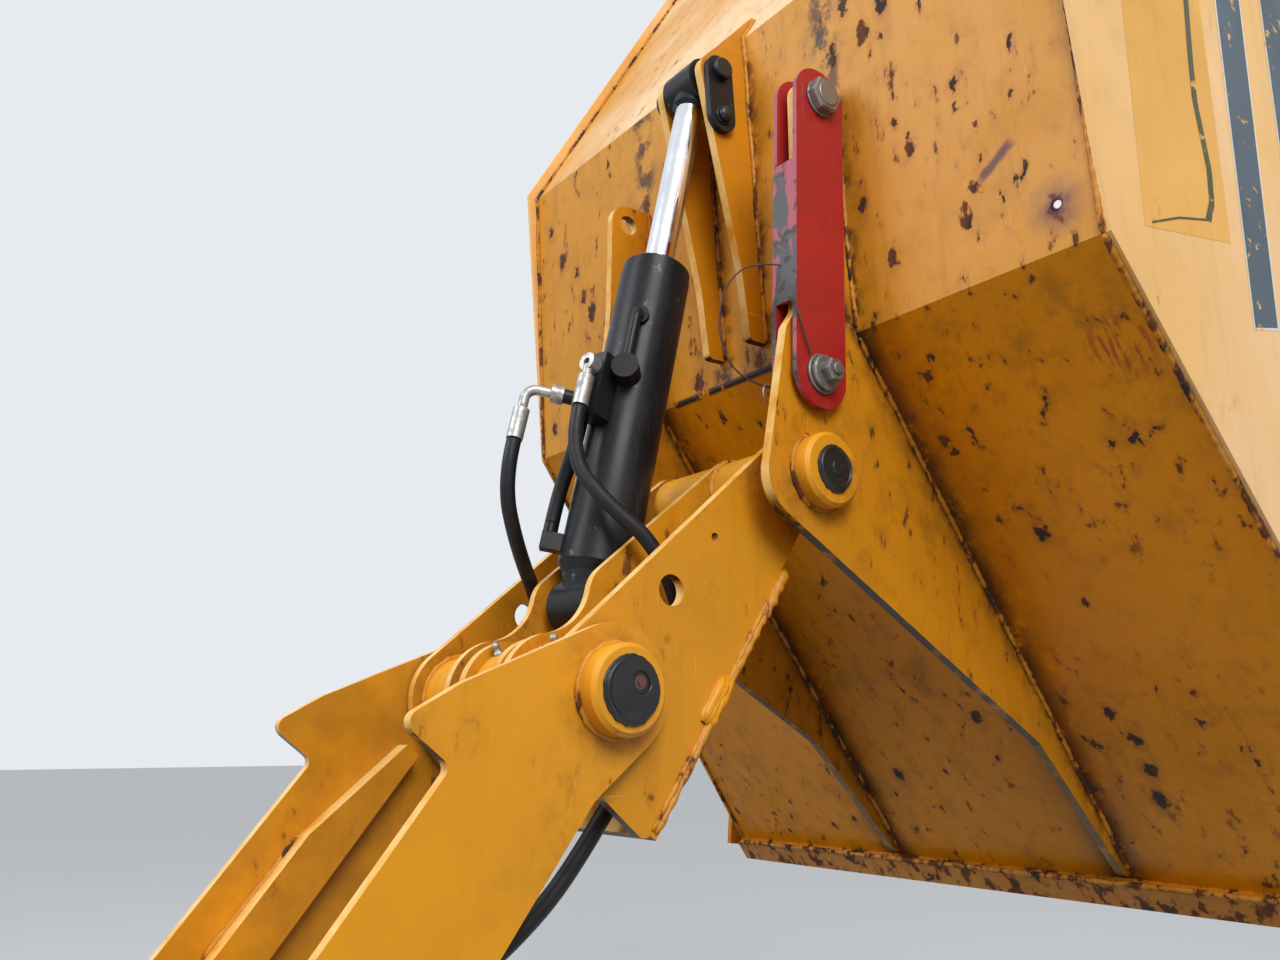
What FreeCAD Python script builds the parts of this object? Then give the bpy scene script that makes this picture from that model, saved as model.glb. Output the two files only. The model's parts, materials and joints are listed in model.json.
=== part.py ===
import FreeCAD, Part
import math
import os
import Sketcher
from types import SimpleNamespace

# High-tip skip unit of a small site dumper: the lift arm, the knuckle head on its end, the tip ram,
# the skip with its gussets, and the safety strut stowed on the right gusset.
# It is posed as photographed, arm raised and skip tipped forward.
# Millimetres and degrees. +X is the way the machine drives, +Y its left, +Z up. The origin is on
# the axis of the bore at the arm's foot, midway between the arm's two plates.

SIZES = {
    # pose, in degrees from level
    "arm_rise": 52.5,
    "head_rise": 43.6,
    "skip_tip": 52.5,
    # fits
    "pin_fit": 0.05,
    "weld_gap": 0.2,
    "turn_gap": 5.0,
    # lift arm
    "arm_length": 700.0,
    "arm_plate": 12.0,
    "arm_front": 41.0,
    "arm_rear": 89.0,
    "foot_radius": 60.0,
    "foot_tube_radius": 44.0,
    "foot_bore": 50.0,
    "foot_tube_overhang": 14.0,
    "stiffener_width": 45.0,
    "stiffener_depth": 24.0,
    "stiffener_start": 80.0,
    "stiffener_rear": 6.0,
    "stiffener_tip": 18.0,
    "stiffener_taper": 130.0,
    "arm_ear_at": 150.0,
    "arm_ear_rise": 57.0,
    "brace_at": 300.0,
    "brace_rear": 22.0,
    "brace_radius": 38.0,
    "brace_wall": 8.0,
    "lift_lug": 12.0,
    "lift_lug_gap": 60.0,
    "lift_pin": 35.0,
    "lift_pin_drop": 92.0,
    "lift_lug_radius": 36.0,
    # knuckle
    "knuckle_radius": 62.0,
    "knuckle_pin": 60.0,
    "knuckle_tube_radius": 48.0,
    "knuckle_boss_radius": 42.0,
    "knuckle_boss": 24.0,
    "pin_end": 6.0,
    # head
    "head_length": 348.0,
    "head_half_width": 145.0,
    "head_plate": 12.0,
    "head_nose_radius": 46.0,
    "inner_plate": 10.0,
    "inner_plate_gap": 100.0,
    "inner_nose_radius": 43.0,
    "ear_radius": 41.0,
    "valley_radius": 60.0,
    "tail_back": 59.0,
    "tail_drop": 132.0,
    "cover_plate": 8.0,
    "link_pin": 25.0,
    "link_pin_back": 32.0,
    "link_pin_drop": 76.0,
    "link_lug": 12.0,
    "link_lug_gap": 50.0,
    "link_lug_radius": 26.0,
    "access_hole": 32.0,
    "drain_hole": 10.0,
    # tip ram
    "ram_base_at": 128.0,
    "ram_base_up": 17.5,
    "ram_pin": 30.0,
    "barrel_radius": 44.0,
    "barrel_wall": 8.0,
    "barrel_start": 50.0,
    "barrel_end": 430.0,
    "gland": 16.0,
    "rod_radius": 19.0,
    "rod_inside": 110.0,
    "base_eye_radius": 33.0,
    "base_eye_half": 36.0,
    "rod_eye_radius": 32.0,
    "rod_eye_half": 28.0,
    "port_turn": 14.0,
    "port_block_start": 205.0,
    "port_block_length": 80.0,
    "port_block_half": 14.0,
    "port_block_height": 26.0,
    "pipe_turn": 31.0,
    "pipe_boss_radius": 16.0,
    "pipe_boss_height": 24.0,
    "upper_port_at": 350.0,
    "base_port_at": 54.0,
    "base_port_turn": 50.0,
    "base_port_height": 16.0,
    "pipe_radius": 6.0,
    "pipe_height": 17.0,
    # skip
    "sheet": 6.0,
    "heel_back": 100.0,
    "floor_height": 171.5,
    "floor_length": 830.0,
    "back_length": 487.0,
    "back_angle": 145.8,
    "upper_length": 790.0,
    "upper_angle": 112.7,
    "rim_length": 500.0,
    "skip_half_width": 500.0,
    "flare_angle": 6.56,
    "lip_width": 36.0,
    "lip_depth": 16.0,
    "lip_overhang": 18.0,
    "rim_width": 40.0,
    "rim_depth": 8.0,
    "side_margin": 18.0,
    # skip hinge
    "gusset": 12.0,
    "gusset_half": 193.0,
    "rail_inset": 30.0,
    "rail_taper": 240.0,
    "rail_depth": 44.0,
    "rail_tip_depth": 10.0,
    "gusset_top_radius": 30.0,
    "skip_pin": 50.0,
    "pivot_tube_radius": 40.0,
    "skip_boss_radius": 42.0,
    "skip_boss": 22.0,
    # rod pin lugs on the skip's back
    "lug": 12.0,
    "lug_gap": 68.0,
    "rod_pin_along": 410.0,
    "rod_pin_off": 57.6,
    "lug_ear_radius": 27.0,
    "keeper": 9.0,
    "pin_waist": 10.0,
    "open_pivot_play": 12.0,
    # safety strut
    "strut_top_along": 289.0,
    "strut_top_off": 41.5,
    "strut_foot_back": 89.0,
    "strut_foot_up": 65.0,
    "strut_radius": 40.0,
    "strut_width": 38.0,
    "strut_wall": 6.0,
    "web_start": 82.0,
    "web_end": 264.0,
    "strut_bolt": 30.0,
    "bolt_head_radius": 24.0,
    "bolt_head": 15.0,
    "nut": 11.0,
    # hoses
    "hose_radius": 8.5,
    "ferrule_radius": 9.6,
    "ferrule": 38.0,
    "nut_radius": 11.0,
    "stub_radius": 6.0,
    "stub": 14.0,
    "bracket": 8.0,
    "fitting_height": 10.0,
    "branch_at": 226.0,
    "branch_lean_angle": 44.0,
    "hose_spread": 96.0,
    "elbow_run": 16.0,
    "brace_stub_angle": 20.0,
}
s = SimpleNamespace(**SIZES)

doc = FreeCAD.newDocument("SkipUnit")
sheet = doc.addObject("Spreadsheet::Sheet", "Sizes")
for row, (name, value) in enumerate(SIZES.items(), 1):
    sheet.set("A%d" % row, name)
    sheet.set("B%d" % row, str(value))
    sheet.setAlias("B%d" % row, name)
doc.recompute()

PIECES = []


# Points and frames

def xz(x, z):
    return FreeCAD.Vector(x, 0, z)


def heading(degrees):
    """Unit vector in the XZ plane, raised by an angle from +X towards +Z."""
    return xz(math.cos(math.radians(degrees)), math.sin(math.radians(degrees)))


def frame_at(point, rise):
    """Frame whose local X axis rises by an angle, about the cross axis through a point."""
    return FreeCAD.Placement(point, FreeCAD.Rotation(FreeCAD.Vector(0, 1, 0), -rise))


foot = xz(0, 0)
arm = frame_at(foot, s.arm_rise)
knuckle = arm.multVec(xz(s.arm_length, 0))
head = frame_at(knuckle, s.head_rise)
pivot = head.multVec(xz(s.head_length, 0))
skip = frame_at(pivot, -s.skip_tip)
ram_base = xz(s.ram_base_at, s.ram_base_up)
ram_foot = head.multVec(ram_base)

# Lines of the skip's folded sheet, in the skip's own level frame about its pivot
back_rise = heading(s.back_angle)
back_out = heading(s.back_angle + 90)
upper_rise = heading(s.upper_angle)
upper_out = heading(s.upper_angle + 90)
heel = xz(-s.heel_back, s.floor_height)
lip = heel + xz(s.floor_length, 0)
bend = heel + back_rise * s.back_length
rim = bend + upper_rise * s.upper_length
rim_front = rim + xz(s.rim_length, 0)


def on_floor(along, off):
    """A point under the floor: distance forward of the heel, distance below the sheet."""
    return heel + xz(along, -off)


def on_back(along, off):
    """A point behind the lower back: distance up from the heel, distance off the sheet."""
    return heel + back_rise * along + back_out * off


def on_upper(along, off):
    """A point behind the upper back: distance up from the bend, distance off the sheet."""
    return bend + upper_rise * along + upper_out * off


rod_pin_at = on_back(s.rod_pin_along, s.rod_pin_off)
ram_line = skip.multVec(rod_pin_at) - ram_foot
ram_length = ram_line.Length
ram_rise = math.degrees(math.atan2(ram_line.z, ram_line.x))
ram = frame_at(ram_foot, ram_rise)
port = ram.multiply(FreeCAD.Placement(xz(0, 0), FreeCAD.Rotation(FreeCAD.Vector(1, 0, 0), s.port_turn)))

strut_top = on_back(s.strut_top_along, s.strut_top_off)
strut_foot = xz(-s.strut_foot_back, s.strut_foot_up)
strut_line = strut_top - strut_foot
strut_rise = math.degrees(math.atan2(strut_line.z, strut_line.x))


def beside_strut(along, off):
    """A point in the skip's frame: distance up the strut from its foot pin, distance behind its line."""
    return strut_foot + heading(strut_rise) * along + heading(strut_rise + 90) * off


# Outlines: anticlockwise in the XZ plane, of arcs about pins and of corners, joined by straight lines

def pin(point, radius):
    """An arc about a point, hollow where the radius is negative."""
    return SimpleNamespace(at=point, arc=radius, fillet=0)


def corner(point, fillet=0):
    """A corner, rounded by a fillet."""
    return SimpleNamespace(at=point, arc=0, fillet=fillet)


def arc_through(centre, start, end, anticlockwise):
    first = math.atan2(start.z - centre.z, start.x - centre.x)
    last = math.atan2(end.z - centre.z, end.x - centre.x)
    sweep = (last - first) % (2 * math.pi)
    if not anticlockwise:
        sweep -= 2 * math.pi
    middle = centre + heading(math.degrees(first + sweep / 2)) * (start - centre).Length
    return [start, middle, end]


def outline(*marks):
    """Point lists of the outline: two points for a line, three for an arc."""
    lines = []
    for mark, after in zip(marks, marks[1:] + marks[:1]):
        span = after.at - mark.at
        lean = max(-1.0, min(1.0, (after.arc - mark.arc) / span.Length))
        angle = math.atan2(span.z, span.x) - math.asin(lean)
        left = heading(math.degrees(angle) + 90)
        lines.append([mark.at - left * mark.arc, after.at - left * after.arc])
    arcs = []
    for index, mark in enumerate(marks):
        arriving, leaving = lines[index - 1], lines[index]
        if mark.arc:
            arcs.append(arc_through(mark.at, arriving[1], leaving[0], mark.arc > 0))
        elif mark.fillet:
            before = (arriving[1] - arriving[0]).normalize()
            after = (leaving[1] - leaving[0]).normalize()
            turn = math.atan2(before.x * after.z - before.z * after.x, before.dot(after))
            trim = mark.fillet * math.tan(abs(turn) / 2)
            arriving[1] = arriving[1] - before * trim
            leaving[0] = leaving[0] + after * trim
            side = math.copysign(mark.fillet, turn)
            centre = arriving[1] + xz(-before.z, before.x) * side
            arcs.append(arc_through(centre, arriving[1], leaving[0], turn > 0))
    return [path for path in lines + arcs if (path[-1] - path[0]).Length > 1e-6]


def valley(first, first_radius, second, second_radius, radius):
    """Centre of the hollow arc above two arcs that it touches, the second one ahead of the first."""
    span = second - first
    near, far = first_radius + radius, second_radius + radius
    along = (span.Length ** 2 + near ** 2 - far ** 2) / (2 * span.Length)
    up = math.sqrt(near ** 2 - along ** 2)
    ahead = span.normalize()
    return first + ahead * along + xz(-ahead.z, ahead.x) * up


def polygon(*points):
    return [[a, b] for a, b in zip(points, points[1:] + points[:1])]


# Features

def origin_feature(body, role):
    return next(item for item in body.Origin.OriginFeatures if item.Role == role)


def new_body(label, frame, y="0"):
    body = doc.addObject("PartDesign::Body", label)
    body.Label = label
    body.Placement = frame
    body.setExpression("Placement.Base.y", y)
    PIECES.append(body)
    return body


def sketch_on(body, paths=(), circles=(), plane="XZ_Plane"):
    """Sketch on the body's own plane. circles are (point, expression of the diameter)."""
    sketch = body.newObject("Sketcher::SketchObject", body.Name + "Sketch")
    sketch.AttachmentSupport = (origin_feature(body, plane), "")
    sketch.MapMode = "FlatFace"
    for path in paths:
        flat = [FreeCAD.Vector(p.x, p.z, 0) for p in path]
        sketch.addGeometry(Part.LineSegment(*flat) if len(flat) == 2 else Part.Arc(*flat), False)
    for point, diameter in circles:
        index = sketch.addGeometry(Part.Circle(FreeCAD.Vector(point.x, point.z, 0), FreeCAD.Vector(0, 0, 1), 1), False)
        rule = sketch.addConstraint(Sketcher.Constraint("Diameter", index, 2.0))
        sketch.setExpression("Constraints[%d]" % rule, diameter)
    return sketch


def pad(body, sketch, length, middle=False, outward=True):
    """Pad towards -Y from the body's XZ plane, towards +Y where outward is False."""
    feature = body.newObject("PartDesign::Pad", body.Name + "Pad")
    feature.Profile = sketch
    feature.setExpression("Length", length)
    feature.Midplane = middle
    feature.Reversed = not outward
    return feature


def plate(label, frame, paths, thickness, inner, side, circles=()):
    """Upright plate: its inner face stands at the expression inner, on the side +1 left or -1 right."""
    body = new_body(label, frame, "%s(%s)" % ("" if side > 0 else "-", inner))
    pad(body, sketch_on(body, paths, circles), thickness, outward=side < 0)
    return body


def turned(label, frame, centre, *profiles):
    """Turned piece about a cross axis. Each profile is closed, of (radius, y) points."""
    body = new_body(label, frame.multiply(FreeCAD.Placement(centre, FreeCAD.Rotation())))
    paths = []
    for profile in profiles:
        paths += polygon(*[xz(radius, y) for radius, y in profile])
    sketch = sketch_on(body, paths, plane="XY_Plane")
    feature = body.newObject("PartDesign::Revolution", body.Name + "Turn")
    feature.Profile = sketch
    feature.ReferenceAxis = (origin_feature(body, "Y_Axis"), [""])
    feature.Angle = 360
    return body


def lathe(label, frame, *profiles):
    """Turned piece about the frame's X axis. Each profile is closed, of (along, radius) points."""
    body = new_body(label, frame)
    paths = []
    for profile in profiles:
        paths += polygon(*[xz(along, radius) for along, radius in profile])
    feature = body.newObject("PartDesign::Revolution", body.Name + "Turn")
    feature.Profile = sketch_on(body, paths)
    feature.ReferenceAxis = (origin_feature(body, "X_Axis"), [""])
    feature.Angle = 360
    return body


def tube_profile(outer, bore, half):
    return [(bore, -half), (outer, -half), (outer, half), (bore, half)]


def boss_profile(outer, bore, start, length, side, bevel=4.0):
    """Ring on a plate's outer face, its far edge bevelled."""
    end = start + length
    points = [(bore, start), (outer, start), (outer, end - bevel), (outer - bevel, end), (bore, end)]
    return [(radius, side * y) for radius, y in points]


def pin_profile(radius, end, chamfer=3.0):
    return [(0, -end), (radius - chamfer, -end), (radius, -end + chamfer),
            (radius, end - chamfer), (radius - chamfer, end), (0, end)]


SIDES = (("left", 1), ("right", -1))

# Stack of the faces across the knuckle and across the skip's hinge
s.arm_inner = s.head_half_width + s.turn_gap
s.arm_outer = s.arm_inner + s.arm_plate
s.head_inner = s.head_half_width - s.head_plate
s.gusset_inner = s.gusset_half - s.gusset
s.inner_plate_inner = s.inner_plate_gap / 2
s.lug_inner = s.lug_gap / 2
ARM_INNER = "Sizes.head_half_width + Sizes.turn_gap"
HEAD_INNER = "Sizes.head_half_width - Sizes.head_plate"
GUSSET_INNER = "Sizes.gusset_half - Sizes.gusset"
PIN_HOLE = "Sizes.%s + 2 * Sizes.pin_fit"
TUBE_HOLE = "2 * (Sizes.%s + Sizes.weld_gap)"


# Lift arm: two plates with flared noses, in the arm's own frame, foot bore to knuckle pin along X

arm_knuckle = xz(s.arm_length, 0)
brace_centre = xz(s.brace_at, s.brace_rear)
arm_outline = outline(
    pin(xz(0, 0), s.foot_radius),
    corner(xz(170, -s.arm_front), 60),
    corner(arm_knuckle + xz(-90, -s.arm_front), 40),
    pin(arm_knuckle, s.knuckle_radius),
    corner(arm_knuckle + xz(-0.62 * s.arm_ear_at, s.arm_rear + 0.62 * s.arm_ear_rise), 60),
    corner(arm_knuckle + xz(-0.97 * s.arm_ear_at, s.arm_rear + s.arm_ear_rise), 10),
    corner(arm_knuckle + xz(-s.arm_ear_at, s.arm_rear + 0.75 * s.arm_ear_rise), 8),
    corner(arm_knuckle + xz(-s.arm_ear_at, s.arm_rear), 9),
    corner(xz(150, s.arm_rear), 90),
)
for name, side in SIDES:
    plate("arm_plate_" + name, arm, arm_outline, "Sizes.arm_plate", ARM_INNER, side, (
        (xz(0, 0), TUBE_HOLE % "foot_tube_radius"),
        (brace_centre, TUBE_HOLE % "brace_radius"),
        (arm_knuckle, PIN_HOLE % "knuckle_pin"),
    ))
    rear, front = s.stiffener_rear + s.stiffener_width, s.stiffener_rear
    near, far = s.arm_length - s.stiffener_start, s.brace_at + s.brace_radius + 12
    body = new_body("arm_stiffener_" + name, arm, "%s(%s - Sizes.weld_gap)" % ("" if side > 0 else "-", ARM_INNER))
    tip = front + s.stiffener_tip
    stiffener = outline(corner(xz(far, front)), corner(xz(near, front)), corner(xz(near, tip)),
                        corner(xz(near - s.stiffener_taper, rear)), corner(xz(far, rear)))
    pad(body, sketch_on(body, stiffener), "Sizes.stiffener_depth", outward=side > 0)
turned("knuckle_bosses", arm, arm_knuckle, *[
    boss_profile(s.knuckle_boss_radius, s.knuckle_pin / 2 + s.pin_fit, s.arm_outer + s.weld_gap, s.knuckle_boss, side)
    for _, side in SIDES])

turned("arm_foot_tube", arm, xz(0, 0),
       tube_profile(s.foot_tube_radius, s.foot_bore / 2, s.arm_outer + s.foot_tube_overhang))
turned("arm_brace_tube", arm, brace_centre,
       tube_profile(s.brace_radius, s.brace_radius - s.brace_wall, s.arm_outer + s.weld_gap))

lift_pin_at = brace_centre + xz(s.brace_radius, -s.lift_pin_drop)
for name, side in SIDES:
    lug_paths = outline(pin(brace_centre, s.brace_radius + 14), pin(lift_pin_at, s.lift_lug_radius))
    plate("lift_ram_lug_" + name, arm, lug_paths, "Sizes.lift_lug", "Sizes.lift_lug_gap / 2", side, (
        (brace_centre, TUBE_HOLE % "brace_radius"),
        (lift_pin_at, "Sizes.lift_pin"),
    ))
knuckle_end = s.arm_outer + s.weld_gap + s.knuckle_boss + s.pin_end
turned("knuckle_pin", arm, arm_knuckle, pin_profile(s.knuckle_pin / 2, knuckle_end))


# Head: two outer plates and two wavy inner ones on two cross tubes, in its own frame, knuckle to pivot along X

head_pivot = xz(s.head_length, 0)
tail = xz(-s.tail_back, -s.tail_drop)
link_pin_at = xz(-s.link_pin_back, -s.link_pin_drop)
head_outline = outline(
    corner(tail, 10),
    pin(head_pivot, s.head_nose_radius),
    pin(xz(0, 0), s.knuckle_radius),
    corner(xz(-s.tail_back - 7, -71), 8),
)
valley_at = valley(xz(0, 0), s.knuckle_radius - 1, ram_base, s.ear_radius, s.valley_radius)
inner_outline = outline(
    pin(xz(0, 0), s.knuckle_radius - 1),
    pin(head_pivot, s.inner_nose_radius),
    pin(ram_base, s.ear_radius),
    pin(valley_at, -s.valley_radius),
)
for name, side in SIDES:
    plate("head_plate_" + name, head, head_outline, "Sizes.head_plate", HEAD_INNER, side, (
        (xz(0, 0), TUBE_HOLE % "knuckle_tube_radius"),
        (head_pivot, TUBE_HOLE % "pivot_tube_radius"),
        (ram_base, "Sizes.access_hole"),
        (ram_base + xz(85, 3), "Sizes.drain_hole"),
    ))
    plate("head_inner_plate_" + name, head, inner_outline, "Sizes.inner_plate", "Sizes.inner_plate_gap / 2", side, (
        (xz(0, 0), TUBE_HOLE % "knuckle_tube_radius"),
        (head_pivot, TUBE_HOLE % "pivot_tube_radius"),
        (ram_base, PIN_HOLE % "ram_pin"),
    ))
# Lugs for the levelling link, on the knuckle tube between the inner plates
link_lug_outline = outline(pin(xz(0, 0), s.knuckle_tube_radius + 10), pin(link_pin_at, s.link_lug_radius))
for name, side in SIDES:
    plate("link_lug_" + name, head, link_lug_outline, "Sizes.link_lug", "Sizes.link_lug_gap / 2", side, (
        (xz(0, 0), TUBE_HOLE % "knuckle_tube_radius"),
        (link_pin_at, "Sizes.link_pin"),
    ))

turned("head_knuckle_tube", head, xz(0, 0),
       tube_profile(s.knuckle_tube_radius, s.knuckle_pin / 2 + s.pin_fit, s.head_half_width))
turned("head_pivot_tube", head, head_pivot,
       tube_profile(s.pivot_tube_radius, s.skip_pin / 2 + s.pin_fit, s.gusset_inner - 3))

# Cover plate along the head's front edge, over the edges of both outer plates
front_rise = math.degrees(math.asin(s.head_nose_radius / (head_pivot - tail).Length))
front_line = math.atan2(head_pivot.z - tail.z, head_pivot.x - tail.x)
front_angle = math.degrees(front_line) - front_rise
ahead = heading(front_angle)
down = heading(front_angle - 90)
cover_start = tail + ahead * 8 + down * s.weld_gap
cover_end = tail + ahead * (s.head_length - 20) + down * s.weld_gap
cover = new_body("head_cover_plate", head)
pad(cover, sketch_on(cover, polygon(cover_start, cover_start + down * s.cover_plate,
                                    cover_end + down * s.cover_plate, cover_end)),
    "2 * Sizes.head_half_width", middle=True)

# Bosses that keep the ram's eye central, and the ram's base pin
boss_start = s.base_eye_half + 1.0
boss_length = s.inner_plate_inner - s.weld_gap - boss_start
turned("ram_base_bosses", head, ram_base,
       boss_profile(24.0, s.ram_pin / 2 + s.pin_fit, boss_start, boss_length, 1, 1.0),
       boss_profile(24.0, s.ram_pin / 2 + s.pin_fit, boss_start, boss_length, -1, 1.0))
turned("ram_base_pin", head, ram_base, pin_profile(s.ram_pin / 2, s.inner_plate_inner + s.inner_plate + 6, 2.0))


# Tip ram: base eye, barrel, gland and rod along the ram's own X axis

base_eye = new_body("ram_base_eye", ram)
pad(base_eye, sketch_on(base_eye, circles=((xz(0, 0), "2 * Sizes.base_eye_radius"),)),
    "2 * Sizes.base_eye_half", middle=True)
cap = base_eye.newObject("PartDesign::Revolution", "BaseCap")
cap.Profile = sketch_on(base_eye, polygon(xz(0, 0), xz(s.barrel_start, 0), xz(s.barrel_start, s.barrel_radius),
                                          xz(s.barrel_start - 8, s.barrel_radius),
                                          xz(s.barrel_start - 20, s.base_eye_half), xz(0, s.base_eye_half - 6)))
cap.ReferenceAxis = (origin_feature(base_eye, "X_Axis"), [""])
cap.Angle = 360
eye_bore = base_eye.newObject("PartDesign::Pocket", "BaseEyeBore")
eye_bore.Profile = sketch_on(base_eye, circles=((xz(0, 0), PIN_HOLE % "ram_pin"),))
eye_bore.Midplane = True
eye_bore.setExpression("Length", "2 * Sizes.base_eye_half + 40")

barrel_bore = s.barrel_radius - s.barrel_wall
lathe("ram_barrel", ram, [(s.barrel_start + s.weld_gap, barrel_bore), (s.barrel_end, barrel_bore),
                          (s.barrel_end, s.barrel_radius), (s.barrel_start + s.weld_gap, s.barrel_radius)])
gland_start, gland_end = s.barrel_end + s.weld_gap, s.barrel_end + s.gland
rod_way = s.rod_radius + 0.3
lathe("ram_gland", ram, [(gland_start, rod_way), (gland_end, rod_way), (gland_end, s.barrel_radius - 5),
                         (gland_end - 4, s.barrel_radius - 1), (gland_start, s.barrel_radius - 1)])
rod_start, rod_end = s.barrel_end - s.rod_inside, ram_length - s.rod_eye_radius - 8
lathe("ram_rod", ram, [(rod_start, 0), (rod_end, 0), (rod_end, s.rod_radius), (rod_start, s.rod_radius)])
rod_eye = new_body("ram_rod_eye", ram)
pad(rod_eye, sketch_on(rod_eye, circles=((xz(ram_length, 0), "2 * Sizes.rod_eye_radius"),)),
    "2 * Sizes.rod_eye_half", middle=True)
neck = rod_eye.newObject("PartDesign::Revolution", "RodNeck")
neck_start = rod_end + s.weld_gap
neck.Profile = sketch_on(rod_eye, polygon(xz(neck_start, 0), xz(ram_length, 0), xz(ram_length, s.rod_radius + 5),
                                          xz(neck_start + 5, s.rod_radius + 5), xz(neck_start, s.rod_radius)))
neck.ReferenceAxis = (origin_feature(rod_eye, "X_Axis"), [""])
neck.Angle = 360
rod_bore = rod_eye.newObject("PartDesign::Pocket", "RodEyeBore")
rod_bore.Profile = sketch_on(rod_eye, circles=(
    (xz(ram_length, 0), "2 * (Sizes.pin_waist + Sizes.open_pivot_play)"),))
rod_bore.Midplane = True
rod_bore.setExpression("Length", "2 * Sizes.rod_eye_half + 20")


# Ports on the ram's rear side: block, upper port and transfer pipe, in a frame whose Z axis points out of them

def saddle(label, frame, shape):
    """A piece that sits on the barrel: the shape less the barrel's cylinder."""
    barrel = Part.makeCylinder(s.barrel_radius + s.weld_gap, ram_length, xz(0, 0), FreeCAD.Vector(1, 0, 0))
    return feature_of(label, frame, shape.cut(barrel))


def feature_of(label, frame, shape):
    feature = doc.addObject("Part::Feature", label)
    feature.Label = label
    feature.Shape = shape
    feature.Placement = frame
    PIECES.append(feature)
    return feature


block_top = s.barrel_radius + s.port_block_height
block_end = s.port_block_start + s.port_block_length
block = Part.makeBox(s.port_block_length, 2 * s.port_block_half, block_top,
                     FreeCAD.Vector(s.port_block_start, -s.port_block_half, 0))
branch_from = FreeCAD.Vector(s.branch_at, 0.64 * s.port_block_half, block_top - 7)
branch_way = FreeCAD.Vector(0, math.sin(math.radians(s.branch_lean_angle)), math.cos(math.radians(s.branch_lean_angle)))
branch_back = branch_from - branch_way * 12
branch = Part.makeCylinder(s.ferrule_radius - 1, 39, branch_back, branch_way)
# the transfer pipe comes in at a round boss beside the block, turned further round the barrel
shoulder = FreeCAD.Placement(xz(0, 0), FreeCAD.Rotation(FreeCAD.Vector(1, 0, 0), s.pipe_turn))
pipe_side = port.multiply(shoulder)
pipe_boss = Part.makeCylinder(s.pipe_boss_radius, s.barrel_radius + s.pipe_boss_height,
                              xz(block_end - s.pipe_boss_radius, 0))
pipe_boss.Placement = shoulder.multiply(pipe_boss.Placement)
saddle("ram_port_block", port, block.multiFuse([branch, pipe_boss]))
port_foot = xz(s.upper_port_at, 0)
upper_boss = Part.makeCylinder(s.pipe_radius + 6, s.barrel_radius + 5, port_foot)
pipe_bore = Part.makeCylinder(s.pipe_radius + s.weld_gap, s.barrel_radius + 6, port_foot)
saddle("ram_upper_port", pipe_side, upper_boss.cut(pipe_bore))


def tube_along(points, radius, share=0.45, closest=None):
    """Round tube along straight runs joined by tangent arcs, each taking up to a share of its runs."""
    runs = [(b - a).Length for a, b in zip(points, points[1:])]
    edges, start, radii = [], points[0], []
    for index in range(1, len(points) - 1):
        at = points[index]
        before = (at - points[index - 1]).normalize()
        after = (points[index + 1] - at).normalize()
        turn = before.getAngle(after)
        trim = share * min(runs[index - 1], runs[index])
        if closest:
            trim = min(trim, closest * math.tan(turn / 2))
        bend_radius = trim / math.tan(turn / 2)
        radii.append(round(bend_radius))
        first, last = at - before * trim, at + after * trim
        inward = (after - before).normalize()
        middle = at + inward * (bend_radius / math.cos(turn / 2) - bend_radius)
        edges.append(Part.LineSegment(start, first).toShape())
        edges.append(Part.Arc(first, middle, last).toShape())
        start = last
    edges.append(Part.LineSegment(start, points[-1]).toShape())
    spine = Part.Wire(edges)
    across = points[1] - points[0]
    ring = Part.Wire([Part.makeCircle(radius, points[0], across)])
    return spine.makePipeShell([ring], True, False), spine.Length, radii


pipe_height = s.barrel_radius + s.pipe_height
pipe, _, _ = tube_along([xz(s.upper_port_at, s.barrel_radius + 2), xz(s.upper_port_at, pipe_height),
                         xz(block_end + s.weld_gap, pipe_height)], s.pipe_radius, 0.9, 2 * s.pipe_radius)
feature_of("ram_transfer_pipe", pipe_side, pipe)


def rod_between(start, end, radius):
    return Part.makeCylinder(radius, (end - start).Length, start, end - start)


# Hose ends at the ports: one from a banjo on the block's top, one from its far side, one on the angled branch
V = FreeCAD.Vector
DOWN = V(-1, 0, 0)
banjo_at = block_end - 19
fitting_top = block_top + s.weld_gap + s.fitting_height
top_banjo = rod_between(V(banjo_at, 0, block_top + s.weld_gap), V(banjo_at, 0, fitting_top + 5), s.nut_radius)
top_stem = rod_between(V(banjo_at, 0, fitting_top), V(banjo_at - 20, 0, fitting_top), s.stub_radius)
top_ferrule = rod_between(V(banjo_at - 18, 0, fitting_top), V(banjo_at - 18 - s.ferrule, 0, fitting_top), s.ferrule_radius)
banjo_hole = rod_between(V(banjo_at, 0, fitting_top - 4), V(banjo_at, 0, fitting_top + 6), 4.5)
near_end = V(banjo_at - 18 - s.ferrule, 0, fitting_top)

side_out = s.port_block_half + s.weld_gap + s.fitting_height
side_height = block_top - 20
side_banjo = rod_between(V(banjo_at, s.port_block_half + s.weld_gap, side_height),
                         V(banjo_at, side_out + 4, side_height), s.nut_radius - 3)
side_stem = rod_between(V(banjo_at, side_out, side_height), V(banjo_at - 20, side_out, side_height), s.stub_radius)
side_ferrule = rod_between(V(banjo_at - 18, side_out, side_height),
                           V(banjo_at - 18 - s.ferrule, side_out, side_height), s.ferrule_radius)
base_end = V(banjo_at - 18 - s.ferrule, side_out, side_height)

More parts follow.
